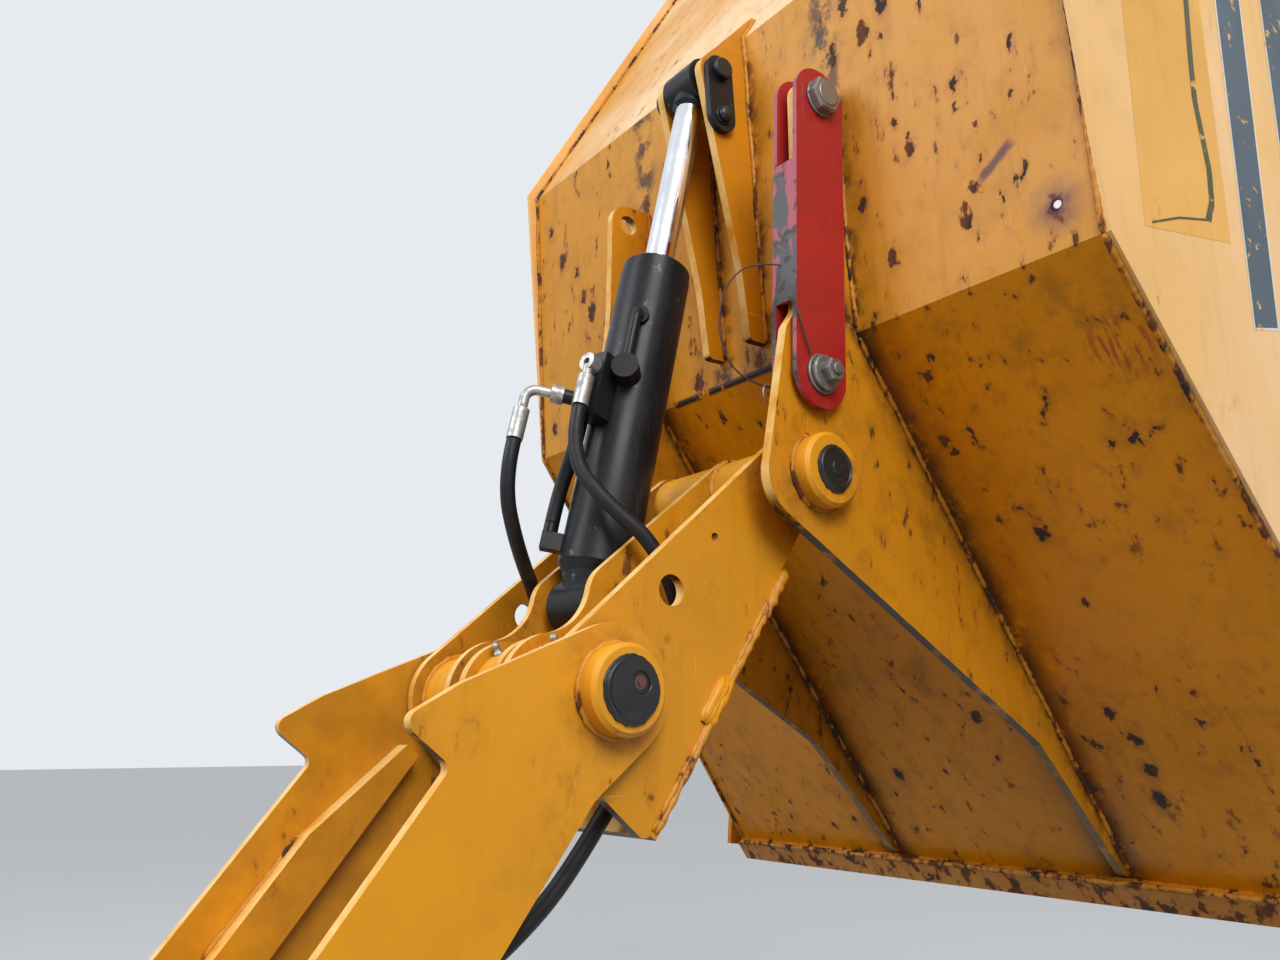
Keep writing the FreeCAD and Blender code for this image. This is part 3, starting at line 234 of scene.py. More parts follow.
class Paint(Shader):
    """Brushed-on machine paint. Each method lays one kind of wear over the colour so far; some lay painted shade
    and painted highlight as well.
    """

    def __init__(self, name, colour, faded, pale):
        super().__init__(name)
        self.colour = colour
        self.clouds, self.smudge = self.noise(4.5, 5.0, 0.6), self.noise(19.0, 5.0, 0.65)
        self.ragged = self.shaken(0.022, 95.0)
        self.corroded = self.mix(self.ramp(self.smudge, 0.45, 0.6), RUST, DARK)
        self.base = self.mix(self.ramp(self.clouds, 0.35, 0.7), colour, darker(colour, 0.84))
        broad = self.noise(1.7, 3.0, 0.5)
        self.lay(self.times(self.ramp(broad, 0.36, 0.60), self.ramp(self.clouds, 0.25, 0.5), pale), faded)

    def lay(self, factor, colour):
        self.base = self.mix(factor, self.base, colour)

    def dirty(self, streaks, film):
        """Runs of dirt down the plates, and a thin film of it."""
        runs = self.noise(3.0, 5.0, 0.7, self.stretched((13, 13, 1.1)))
        self.lay(self.ramp(runs, 0.52, 0.76, 0.0, streaks), DIRT)
        patches = self.ramp(self.clouds, 0.40, 0.62)
        self.lay(self.times(self.ramp(self.smudge, 0.50, 0.74), patches, film), DIRT)

    def shaded_between(self, amount):
        """Painted shade, in the colour of dirt, on the faces of paired plates that look at each other."""
        facing = self.times(self.along(ACROSS), self.along(ACROSS, self.normal))
        patches = self.ramp(self.noise(7.0, 5.0, 0.65), 0.30, 0.62)
        self.lay(self.times(self.ramp(facing, -0.03, -0.05), patches, amount), DIRT)

    def scratched(self, amount):
        """Fine scratches in two directions, which stop and start."""
        for turned_by, shape, gaps in (((0, 0.9, 0), (1.6, 70, 70), 8.0),
                                       ((0.4, -0.5, 0.3), (70, 70, 2.2), 11.0)):
            lines = self.ramp(self.noise(6.0, 2.0, 0.5, self.stretched(shape, turned_by)), 0.70, 0.75)
            self.lay(self.times(lines, self.ramp(self.noise(gaps, 2.0), 0.54, 0.66), 0.5 * amount), CREAM)

    def speckled(self, spots, patch, level):
        """Rust in many small longish spots, which gather in patches and have a stained rim."""
        patches = self.ramp(self.noise(4.2, 3.0), patch, patch + 0.16)
        specks = self.noise(52.0, 4.0, 0.6, self.stretched((1, 1, 0.5), (0, 0.25, 0)))
        rims = self.ramp(specks, level - 0.09, level + 0.04)
        self.lay(self.times(rims, patches, min(1.0, 0.6 * spots)), STAIN)
        self.rust = self.times(self.ramp(specks, level, level + 0.05), patches, min(1.0, spots))
        self.lay(self.rust, self.corroded)

    def marked(self, marks):
        """Big rust spots at chosen places."""
        reach = self.near_any(marks, self.ragged)
        self.lay(self.times(self.ramp(reach, 1.7, 0.7), self.ramp(self.smudge, 0.38, 0.56), 0.7), STAIN)
        spot = self.ramp(reach, 0.88, 0.62)
        self.lay(spot, self.mix(self.ramp(self.smudge, 0.42, 0.56), RUST, DARK))
        self.rust = self.math("MAXIMUM", self.rust, spot)

    def sooty_seams(self, seams, reach, start, outside):
        """Grime and rust along weld seams, on the face that looks outside."""
        grain = self.noise(26.0, 5.0, 0.7)
        outer = self.ramp(self.along(outside, self.normal), 0.2, 0.5)
        wide, close = self.beside(seams, 0.003, reach), self.beside(seams, 0.12 * reach, 0.42 * reach)
        self.lay(self.times(wide, self.ramp(grain, start, start + 0.24), outer, 0.75), DIRT)
        self.lay(self.times(close, self.ramp(grain, start + 0.04, start + 0.14), outer, 0.85), self.corroded)

    def sooty_foot(self, normal):
        """Grime along the seam where the plate stands on the skip's floor."""
        away = self.math("ABSOLUTE", self.math("SUBTRACT", self.along(normal), float(HEEL.dot(normal))))
        for far, near, scale, start, end, colour in ((0.030, 0.004, 24.0, 0.40, 0.58, DIRT),
                                                     (0.012, 0.003, 31.0, 0.44, 0.54, DARK)):
            grain = self.ramp(self.noise(scale, 5.0, 0.7), start, end)
            self.lay(self.times(self.ramp(away, far, near), grain, 0.8), colour)

    def greasy_round(self, centre, radius):
        """A dark halo round a pin."""
        halo = self.round_axis(centre, radius, radius + 0.030)
        self.lay(self.times(halo, self.ramp(self.smudge, 0.36, 0.66), 0.75), GREASY)

    def split_at(self, centre):
        """Paint that broke open along a bend, in the middle of the skip."""
        middle = self.ramp(self.sideways(), 0.21, 0.17)
        line = self.round_axis(centre, 0.003, 0.007)
        self.lay(self.times(middle, line, self.ramp(self.noise(21.0, 4.0, 0.7), 0.40, 0.46)), DARK)

    def scorched(self, start, end):
        """A scorched stroke from start to end."""
        way = end - start
        half, way = way.length / 2, way.normalized()
        offset = self.vector("SUBTRACT", self.shaken(0.012, 40.0), tuple((start + end) / 2))
        run = self.math("ABSOLUTE", self.along(way, offset))
        off = self.math("ABSOLUTE", self.along(way.cross(Vector((1, 0, 0))).normalized(), offset))
        stroke = self.times(self.ramp(run, half, 0.7 * half), self.ramp(off, 0.0080, 0.0030))
        self.lay(self.times(stroke, self.ramp(self.smudge, 0.32, 0.46)), SCORCHED)

    def burnt_with_glint(self, place):
        """Scorched paint round a dark ring, with a painted glint, a small white spot, in it."""
        away = self.distance(self.place, tuple(place))
        self.lay(self.times(self.ramp(away, 0.038, 0.008), self.ramp(self.smudge, 0.25, 0.55)), BURNT)
        self.lay(self.ramp(away, 0.0072, 0.0058), DARK)
        # painted glint: a small white spot a little off the ring's middle
        away = self.distance(self.place, tuple(place + Vector((0, -0.0016, 0))))
        self.lay(self.ramp(away, 0.0046, 0.0036), PAINTED_GLINT)

    def scraped(self, place):
        """Red scrapes round a place."""
        lines = self.ramp(self.noise(9.0, 3.0, 0.6, self.stretched((4, 16, 3))), 0.52, 0.58)
        near = self.ramp(self.distance(self.ragged, tuple(place)), 0.045, 0.020)
        self.lay(self.times(near, lines, 0.8), SCRAPED)

    def edges_lit_and_shaded(self, amount):
        """The cut faces of a plate: pale in patches where they look up, a painted highlight mixed with wear, and
        dark in patches where they look down, painted shade.
        """
        cut = self.ramp(self.sideways(self.normal), 0.45, 0.30)
        facing_light = self.ramp(self.along((-0.5, 0, 0.86), self.normal), -0.35, 0.10)
        worn = self.ramp(self.noise(16.0, 5.0, 0.7), 0.34, 0.56)
        # edges that look up get a painted highlight, those that look down painted shade
        upper = self.mix(self.times(worn, amount), self.colour, CREAM)
        lower = self.mix(self.ramp(self.noise(24.0, 5.0, 0.7), 0.32, 0.46), self.colour, EDGE_SHADE)
        self.lay(cut, self.mix(facing_light, lower, upper))

    def finished(self):
        """Sets the colour, the gloss and the bumps, and returns the material."""
        self.set("Base Color", self.base)
        gloss = self.ramp(self.clouds, 0.3, 0.75, 0.34, 0.56)
        self.set("Roughness", self.math("ADD", gloss, self.times(self.rust, 0.3)))
        self.set("Specular IOR Level", 0.32)
        self.bump(self.noise(120.0, 3.0), 0.12, 0.0007)
        self.bump(self.noise(9.0, 2.0), 0.10, 0.004)
        self.bump(self.rust, -0.35, 0.0008)
        return self.material


def painted(name, colour=YELLOW, spots=1.0, streaks=0.3, pale=0.35, film=0.35, marks=(), seams=(), pins=(),
            crack=None, edges=None, burn_and_glint=None, scrape=None, scratches=1.0, patch=0.46, faded=FADED, stroke=None,
            level=0.64, grime=(0.045, 0.42), foot=None, outside=None, between=None):
    """A machine paint with the given amounts and places of wear, painted shade and painted highlight."""
    paint = Paint(name, colour, faded, pale)
    paint.dirty(streaks, film)
    # painted shade on the faces of paired plates that look at each other
    if between:
        paint.shaded_between(between)
    paint.scratched(scratches)
    paint.speckled(spots, patch, level)
    if marks:
        paint.marked(marks)
    if seams:
        paint.sooty_seams(seams, *grime, outside)
    if foot:
        paint.sooty_foot(foot)
    for centre, radius in pins:
        paint.greasy_round(centre, radius)
    if crack:
        paint.split_at(crack)
    if stroke:
        paint.scorched(*stroke)
    # a scorched spot that holds a painted glint
    if burn_and_glint:
        paint.burnt_with_glint(burn_and_glint)
    if scrape:
        paint.scraped(scrape)
    # painted highlight on the cut edges that look up, painted shade on those that look down
    if edges:
        paint.edges_lit_and_shaded(edges)
    return paint.finished()


def metal(name, colour, roughness, metallic=1.0, grime=0.35, bumps=0.12, scale=35.0,
          dirt=(0.060, 0.045, 0.035, 1)):
    """Bare or plated steel with cloudy tarnish and grime."""
    s = Shader(name)
    clouds = s.noise(scale, 5.0, 0.65)
    grimy = s.ramp(clouds, 0.45, 0.68, 0.0, grime)
    s.set("Base Color", s.mix(grimy, colour, dirt))
    s.set("Metallic", s.math("SUBTRACT", metallic, s.times(grimy, 0.8 * metallic)))
    s.set("Roughness", s.ramp(clouds, 0.3, 0.7, roughness - 0.05, roughness + 0.2))
    s.bump(s.noise(220.0, 3.0), bumps, 0.0004)
    return s.material


def rubber(name, colour):
    """Hose cover: matt black with dust and rubbed places."""
    s = Shader(name)
    dust = s.ramp(s.noise(22.0, 4.0, 0.6), 0.5, 0.75, 0.0, 0.15)
    s.set("Specular IOR Level", 0.3)
    s.set("Base Color", s.mix(dust, colour, (0.10, 0.09, 0.085, 1)))
    s.set("Roughness", s.ramp(s.noise(40.0), 0.3, 0.7, 0.38, 0.60))
    s.bump(s.noise(420.0, 2.0), 0.12, 0.0004)
    return s.material


def strut_red(name):
    """Red paint over grey steel, torn off along the channel's closed rear side."""
    s = Shader(name)
    clouds, tears = s.noise(9.0, 5.0, 0.6), s.noise(24.0, 4.0, 0.6, s.stretched((1, 1, 0.45)))
    base = s.mix(s.ramp(clouds, 0.35, 0.7), (0.400, 0.012, 0.016, 1), (0.320, 0.010, 0.013, 1))
    rear = s.ramp(s.along((-1, 0, 0), s.normal), 0.55, 0.80)
    base = s.mix(s.times(rear, 0.55), base, (0.42, 0.10, 0.16, 1))
    torn = s.times(s.ramp(tears, 0.52, 0.56), rear)
    base = s.mix(torn, base, s.mix(s.ramp(clouds, 0.45, 0.6), (0.070, 0.068, 0.078, 1), DARK))
    cut = s.ramp(s.sideways(s.normal), 0.45, 0.30)
    chips = s.times(s.ramp(s.noise(55.0, 3.0, 0.6), 0.56, 0.62), s.math("MAXIMUM", cut, 0.12))
    base = s.mix(chips, base, DARK)
    scratches = s.noise(6.0, 2.0, 0.5, s.stretched((60, 60, 2.0), (0.1, 0.1, 0)))
    base = s.mix(s.ramp(scratches, 0.70, 0.76, 0.0, 0.35), base, (0.55, 0.20, 0.20, 1))
    s.set("Base Color", base)
    s.set("Roughness", s.math("ADD", s.ramp(clouds, 0.3, 0.7, 0.32, 0.46), s.times(torn, 0.15)))
    s.bump(s.noise(140.0, 3.0), 0.10, 0.0006)
    s.bump(torn, -0.4, 0.0006)
    return s.material


def black_satin(name):
    """Ram paint: satin black, dusty, rubbed to a sheen."""
    s = Shader(name)
    clouds = s.noise(11.0, 5.0, 0.6)
    dust = s.ramp(s.noise(26.0, 5.0, 0.7), 0.52, 0.74, 0.0, 0.30)
    base = s.mix(s.ramp(clouds, 0.35, 0.7), (0.009, 0.010, 0.012, 1), (0.015, 0.016, 0.018, 1))
    base = s.mix(s.times(dust, 0.6), base, (0.060, 0.058, 0.055, 1))
    chips = s.ramp(s.noise(70.0, 2.0), 0.70, 0.74, 0.0, 0.6)
    base = s.mix(chips, base, (0.16, 0.15, 0.145, 1))
    scratches = s.noise(6.0, 2.0, 0.5, s.stretched((60, 60, 2.5), (0, 0.22, 0)))
    base = s.mix(s.ramp(scratches, 0.69, 0.75, 0.0, 0.25), base, (0.14, 0.14, 0.145, 1))
    s.set("Base Color", base)
    s.set("Roughness", s.ramp(clouds, 0.3, 0.7, 0.28, 0.42))
    s.set("Specular IOR Level", 0.22)
    s.bump(s.noise(130.0, 3.0), 0.10, 0.0006)
    return s.material


# Big rust spots: millimetres along the plate from the heel, millimetres across, radius in millimetres
BACK_MARKS = [
    (370, -247, 11), (382, -247, 8), (426, -222, 9), (436, -225, 6), (392, -279, 9), (236, -362, 7),
    (212, -360, 5), (192, -295, 8), (207, -294, 5), (235, -278, 6), (107, -370, 8), (188, -426, 5),
    (248, -432, 6), (177, -381, 5), (72, -256, 11), (154, -221, 9), (48, -456, 10), (363, -199, 8),
    (378, -199, 6), (403, 457, 8), (337, 422, 13), (300, 381, 9), (249, 363, 10), (214, 342, 14),
    (330, 185, 10), (46, 462, 10), (20, 90, 12), (17, -29, 10)]
FLOOR_MARKS = [
    (210, -442, 6), (216, -447, 4), (77, -254, 9), (157, -235, 9), (175, -242, 6), (298, -299, 10),
    (392, -308, 6), (551, -86, 12), (549, -273, 8), (589, -287, 10), (634, -288, 12), (679, -282, 14),
    (343, -165, 12), (453, 300, 11), (239, 350, 9), (175, 30, 14), (652, 100, 12)]


def spots_on(way, marks):
    return [(on_plate(way, along, across), 0.001 * radius) for along, across, radius in marks]


# For the arm and head plates, between lays painted shade on their facing inner sides, and edges a painted
# highlight and shade on their cut edges.
arm_paint = painted(
    "arm_paint", (0.800, 0.330, 0.006, 1), spots=0.8, streaks=0.12, film=0.40, pale=0.15, patch=0.44,
    level=0.63, edges=1.0, pins=[(KNUCKLE, 0.042)], between=0.55)
head_paint = painted(
    "head_paint", (0.710, 0.290, 0.006, 1), spots=0.8, streaks=0.18, film=0.65, pale=0.1, patch=0.42,
    level=0.62, edges=1.0, pins=[(KNUCKLE, 0.044), (PIVOT, 0.052)], between=0.55)
boss_paint = painted(
    "boss_paint", (0.820, 0.345, 0.010, 1), spots=0.9, streaks=0.10, film=0.60, pale=0.2, patch=0.50)
gusset_paint = painted(
    "gusset_paint", (0.680, 0.272, 0.006, 1), spots=0.9, streaks=0.15, film=0.65, pale=0.1, patch=0.34,
    level=0.62, edges=0.8, pins=[(PIVOT, 0.042)], foot=FLOOR_OUT)
lug_paint = painted(
    "lug_paint", (0.640, 0.240, 0.002, 1), spots=0.7, streaks=0.15, film=0.50, pale=0.1, patch=0.52, edges=0.7)
# The scorched spot on the lower back has a painted glint in it.
back_paint = painted(
    "back_paint", (0.670, 0.275, 0.012, 1), spots=1.0, streaks=0.35, film=0.50, pale=0.6, patch=0.34,
    level=0.63, faded=(0.690, 0.320, 0.038, 1), marks=spots_on(BACK_WAY, BACK_MARKS),
    seams=GUSSET_FACES + LUG_FACES, outside=-BACK_IN, crack=HEEL, burn_and_glint=on_plate(BACK_WAY, 48.3, -456.4),
    stroke=(on_plate(BACK_WAY, 109.1, -373.5), on_plate(BACK_WAY, 139.1, -423.0)))
upper_paint = painted(
    "upper_back_paint", (0.720, 0.330, 0.040, 1), spots=0.8, streaks=0.45, film=0.35, pale=1.0, patch=0.44,
    faded=(0.840, 0.560, 0.300, 1))
floor_paint = painted(
    "floor_paint", (0.780, 0.285, 0.000, 1), spots=1.0, streaks=0.35, film=0.95, pale=0.0, patch=0.34,
    level=0.625, marks=spots_on(FLOOR_WAY, FLOOR_MARKS), seams=GUSSET_FACES, grime=(0.070, 0.30),
    outside=FLOOR_OUT, crack=HEEL, scrape=on_plate(FLOOR_WAY, 110.4, -468.2))
side_paint = painted(
    "side_paint", (0.880, 0.500, 0.150, 1), spots=0.5, streaks=0.12, film=0.15, pale=0.9, patch=0.56,
    faded=(0.930, 0.600, 0.300, 1))
ghost_paint = painted(
    "side_paint_under_sticker", (0.860, 0.460, 0.085, 1), spots=0.3, streaks=0.1, film=0.1, pale=0.4,
    patch=0.56)
rim_paint = painted("rim_paint", spots=1.0, streaks=0.4, film=0.9, pale=0.2, patch=0.30, level=0.60)
lip_paint = painted(
    "lip_paint", (0.620, 0.230, 0.008, 1), spots=1.0, streaks=0.5, film=1.0, pale=0.1, patch=0.05, level=0.52)
grimy_weld = painted(
    "weld_paint_grimy", (0.560, 0.210, 0.006, 1), spots=1.0, film=1.0, streaks=0.0, scratches=0.0, patch=0.12,
    level=0.50)
weld_paint = painted(
    "weld_paint", (0.640, 0.250, 0.008, 1), spots=1.0, film=0.9, streaks=0.0, scratches=0.0, patch=0.30,
    level=0.58)

pin_steel = metal("pin_steel_oily", (0.024, 0.024, 0.028, 1), 0.26, metallic=0.35, grime=0.6, bumps=0.35,
                  scale=60.0, dirt=(0.010, 0.009, 0.008, 1))
bolt_steel = metal("bolt_steel_grey", (0.250, 0.245, 0.230, 1), 0.42, metallic=0.75, grime=0.75, bumps=0.35,
                   scale=70.0, dirt=(0.030, 0.027, 0.026, 1))
rusty_steel = metal("rusty_steel", (0.170, 0.070, 0.050, 1), 0.60, metallic=0.2, grime=0.7, bumps=0.5,
                    scale=80.0, dirt=(0.050, 0.024, 0.020, 1))
zinc = metal("zinc_dull", (0.42, 0.42, 0.40, 1), 0.38, metallic=0.80, grime=0.55, bumps=0.15, scale=90.0)
wire_steel = metal("wire_steel", (0.060, 0.050, 0.045, 1), 0.5, metallic=0.6, grime=0.5)
hose_rubber = rubber("hose_rubber", (0.008, 0.008, 0.010, 1))

# What each material slot shows, and the machine paint of a node by the start of its name: the last fit counts
FINISHES = {
    "machine_paint": head_paint, "ram_paint": black_satin("ram_paint_satin"), "pin_steel": pin_steel,
    "strut_paint": strut_red("strut_paint_torn"), "zinc": zinc, "hose": hose_rubber,
    "rod_chrome": metal("rod_chrome_polished", (0.86, 0.88, 0.92, 1), 0.10, grime=0.06, bumps=0.02),
}
PAINTS = {
    "arm_": arm_paint, "lift_": arm_paint, "ram_lug": lug_paint, "skip_gusset": gusset_paint,
    "knuckle_bosses": boss_paint, "arm_brace_tube": boss_paint, "arm_foot_tube": boss_paint,
    "head_knuckle_tube": boss_paint, "head_pivot_tube": boss_paint, "ram_base_bosses": boss_paint,
    "skip_bosses": boss_paint, "skip_back_lower": back_paint, "skip_back_upper": upper_paint,
    "skip_floor": floor_paint, "skip_side": side_paint, "skip_rim": rim_paint, "skip_lip": lip_paint,
}
for entry in frame["record"]["subparts"]:
    node, slot = nodes[entry["node"]], entry["material_slot"]
    finish = FINISHES[slot]
    if slot == "machine_paint":
        for start, paint in PAINTS.items():
            if entry["node"].startswith(start):
                finish = paint
    node.data.materials.clear()
    node.data.materials.append(finish)


# Mesh code that the pieces share

def ring(form, centre, side, other, radius, count, first=0.0):
    """Vertices round a centre, in the plane of two unit ways, the first at the given angle."""
    angles = [first + k * math.tau / count for k in range(count)]
    return [form.verts.new(centre + radius * (side * math.cos(a) + other * math.sin(a))) for a in angles]


def skin(form, rings, closed=False, smooth=True, capped=True):
    """Faces between rings of vertices. The row of rings closes on itself, or has caps at its ends."""
    pairs = list(zip(rings, rings[1:])) + ([(rings[-1], rings[0])] if closed else [])
    for first, second in pairs:
        count = len(first)
        for i in range(count):
            face = form.faces.new((first[i], first[(i + 1) % count], second[(i + 1) % count], second[i]))
            face.smooth = smooth
    if capped and not closed:
        form.faces.new(rings[0])
        form.faces.new(rings[-1])


def finish_piece(name, body, form, material, replaced=()):
    """Turns a bmesh into a piece that rides on a body; given two bodies, it stays where it is, on neither."""
    bmesh.ops.recalc_face_normals(form, faces=form.faces)
    mesh = bpy.data.meshes.new(name)
    form.to_mesh(mesh)
    form.free()
    piece = bpy.data.objects.new(name, mesh)
    scene.collection.objects.link(piece)
    mesh.materials.append(material)
    bodies = [body] if isinstance(body, str) else body
    if len(bodies) == 2:
        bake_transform(piece)
    else:
        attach(piece, bodies[0])
    if replaced:
        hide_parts(*replaced)
    return piece


def circle(centre, radius, y, count=56):
    """Places round an axis across the object, at y."""
    return [out(centre, y) + radius * Vector((math.cos(a), 0, math.sin(a)))
            for a in [k * math.tau / count for k in range(count)]]


def turned(form, origin, axis, profile, count=40):
    """Surface of revolution about an axis from origin: profile of (radius, distance along the axis)."""
    axis = Vector(axis).normalized()
    side = axis.orthogonal().normalized()
    other = axis.cross(side)
    rings = [ring(form, Vector(origin) + axis * along, side, other, radius, count) for radius, along in profile]
    skin(form, rings)


def hexagon(form, origin, axis, across, near, far, bevel=0.002):
    """Hexagon head or nut between two distances along an axis, its outer corners rounded off."""
    axis = Vector(axis).normalized()
    side = axis.orthogonal().normalized()
    other, corner = axis.cross(side), across / math.sqrt(3)
    rings = [ring(form, Vector(origin) + axis * along, side, other, share * corner, 6, 0.3)
             for share, along in ((1, near), (1, far - bevel), (0.90, far))]
    skin(form, rings, smooth=False)


def relief(form, centre, y, side, radius, height):
    """Round end face across the object whose height at each place is given by a function."""
    rows, steps, count = [], 26, 72
    for j in range(steps + 1):
        r = radius * j / steps
        row = []
        for k in range(count):
            a = k * math.tau / count
            u, v = r * math.cos(a), r * math.sin(a)
            row.append(form.verts.new(out(centre, y + side * height(u, v)) + Vector((u, 0, v))))
        rows.append(row)
    skin(form, rows, capped=False)
    bmesh.ops.remove_doubles(form, verts=rows[0], dist=1e-6)


# Hoses, on the same points as their solids. Three cross a joint between two bodies, and stay where they are, on
# neither body

HOSE_RADIUS, HOSE_SIDES = 0.0085, 20
# Bodies, length, lay and points of each hose
ROUTES = {
    "hose_far": (("tip_ram", "knuckle_head"), 0.287, "loose", [
        (0.42134, 0.02845, 0.83976), (0.40983, 0.02845, 0.78905), (0.43945, 0.048, 0.72407),
        (0.50235, 0.096, 0.66383), (0.52414, 0.096, 0.60034)]),
    "hose_near": (("tip_ram", "knuckle_head"), 0.275, "loose", [
        (0.47737, -0.01940, 0.87831), (0.46342, -0.01940, 0.81688), (0.48407, -0.066, 0.75552),
        (0.53314, -0.096, 0.70834), (0.55572, -0.096, 0.64838)]),
    "hose_base": (("tip_ram",), 0.130, "taut", [
        (0.50023, 0.01139, 0.87312), (0.49115, 0.01139, 0.83314), (0.48732, 0.03527, 0.78991),
        (0.47824, 0.03527, 0.74993)]),
    "hose_arm": (("knuckle_head", "lift_arm"), 0.439, "loose", [
        (0.54001, -0.096, 0.56265), (0.48223, -0.096, 0.46309), (0.358, -0.096, 0.32158),
        (0.22738, -0.096, 0.27404)]),
}


def routed(name, points, radius=0.0):
    """A smooth line on the given points, as a round cord where it has a radius."""
    curve = bpy.data.curves.new(name, "CURVE")
    curve.dimensions = "3D"
    curve.bevel_depth, curve.bevel_resolution, curve.resolution_u = radius, 6, 20
    curve.use_fill_caps = True
    spline = curve.splines.new("NURBS")
    spline.points.add(len(points) - 1)
    for point, place in zip(spline.points, points):
        point.co = (*place, 1)
    spline.order_u = 3
    spline.use_endpoint_u = True
    cord = bpy.data.objects.new(name, curve)
    scene.collection.objects.link(cord)
    return cord


def tube(name, points, radius):
    """A mesh tube along the smooth line on the given points, and the places that it follows."""
    line = routed(name + "_line", points)
    mesh = bpy.data.meshes.new_from_object(line)
    places = [vertex.co.copy() for vertex in mesh.vertices]
    bpy.data.meshes.remove(mesh)
    bpy.data.objects.remove(line)
    form, rings = bmesh.new(), []
    side = (places[1] - places[0]).orthogonal()
    for i, place in enumerate(places):
        way = (places[min(i + 1, len(places) - 1)] - places[max(i - 1, 0)]).normalized()
        side = (side - way * side.dot(way)).normalized()
        rings.append(ring(form, place, side, way.cross(side), radius, HOSE_SIDES))
    skin(form, rings)
    return form, [tuple(place) for place in places]


for name, (bodies, length, lay, points) in ROUTES.items():
    form, places = tube(name, points, HOSE_RADIUS)
    hose = finish_piece(name + "_cover", bodies, form, hose_rubber, [name])


# Weld beads

BEAD, RAISED, BEAD_AWAY, SIDE_INSET = 0.0034, 0.001, 0.0015, 0.002
ARM_OUTSIDE, ARM_INSIDE = 0.1627, 0.1493
BRACE = ARM_WAY * 0.300 + ARM_REAR * 0.022
FRONT_LOW, FRONT_HIGH, FRONT_SIDE = Vector((0.4850, 0, 0.4275)), Vector((0.6640, 0, 0.6835)), 0.1456


def bead(form, points, radius, closed=False, seed=0.0, step=0.004, rough=1.0):
    """Weld bead along a line: a rippled rope half sunk in the corner that it fills."""
    line = list(points) + ([points[0]] if closed else [])
    luck = random.Random(round(1000 * seed) + 7)
    places = []
    for a, b in zip(line, line[1:]):
        count = max(1, round((b - a).length / step))
        places += [a.lerp(b, i / count) for i in range(count)]
    if not closed:
        places.append(line[-1])
    rings, last = [], len(places) - 1
    for i, place in enumerate(places):
        if closed:
            way = places[(i + 1) % len(places)] - places[i - 1]
        else:
            way = places[min(i + 1, last)] - places[max(i - 1, 0)]
        way.normalize()
        side = way.cross(Vector(ACROSS) if abs(way.y) < 0.9 else Vector((1, 0, 0))).normalized()
        wave = 0.13 * math.sin(i * 1.9 + seed) + 0.09 * rough * math.sin(i * 0.31 + 3 * seed)
        size = radius * (1 + wave + 0.13 * rough * luck.uniform(-1, 1))
        if not closed and i in (0, last):
            size *= 0.4
        drift = radius * rough * (0.16 * math.sin(i * 0.17 + 5 * seed) + 0.10 * luck.uniform(-1, 1))
        rings.append(ring(form, place + side * drift, side, way.cross(side), size, 8))
    skin(form, rings, closed)


def both(points, y):
    """A line of the middle plane at y on either side."""
    return [[out(point, side * y) for point in points] for side in (1, -1)]


def along_sides(points):
    """Where the skip's sides meet the plates between them, on both sides."""
    return [[out(point, side * (side_y(point) - SIDE_INSET)) for point in points] for side in (1, -1)]


def beside_plate(faces):
    """Where the beads on either side of a plate lie across the object."""
    return faces[1] + BEAD_AWAY, faces[0] - BEAD_AWAY


form = bmesh.new()
on_floor, on_back = FLOOR_OUT * RAISED, -BACK_IN * RAISED
floor_line = [HEEL + FLOOR_WAY * run + on_floor for run in (0.006, 0.795)]
back_line = [HEEL + BACK_WAY * run + on_back for run in (0.006, 0.317)]
lug_line = [HEEL + BACK_WAY * 0.036 + on_back, BEND + on_back, BEND + UPPER_WAY * 0.050]
seams = []
for y in beside_plate(GUSSET_FACES):
    seams += both(floor_line, y) + both(back_line, y)
for y in beside_plate(LUG_FACES):
    seams += both(lug_line, y)
seams += along_sides([HEEL + on_back, BEND + on_back, RIM - Vector((RAISED, 0, 0))])
seams += along_sides([HEEL + on_floor, HEEL + FLOOR_WAY * 0.828 + on_floor])
for number, line in enumerate(seams):
    bead(form, line, BEAD, seed=0.7 * number)
for side in (1, -1):
    bead(form, circle(PIVOT, 0.0425, side * 0.1937), BEAD, True, 1.3 * side)
bead(form, [Vector((1.2330, y, 0.3290)) for y in (-0.545, 0.545)], 0.0036, seed=2.2)
finish_piece("skip_weld_beads", "skip", form, grimy_weld)

form = bmesh.new()
for side in (1, -1):
    for centre, radius, y, size, seed in ((KNUCKLE, 0.0425, ARM_OUTSIDE, BEAD, 0.4),
                                          (FOOT, 0.0445, ARM_OUTSIDE, 0.0036, 0.9),
                                          (BRACE, 0.0385, ARM_INSIDE, BEAD, 1.9)):
        bead(form, circle(centre, radius, side * y), size, True, seed * side)
    for run, rear in (((0.352, 0.618), 0.0055), ((0.352, 0.488), 0.0515)):
        stiffener = [out(ARM_WAY * reach + ARM_REAR * rear, side * ARM_INSIDE) for reach in run]
        bead(form, stiffener, BEAD, seed=2.7 * side + rear)
finish_piece("arm_weld_beads", "lift_arm", form, weld_paint)

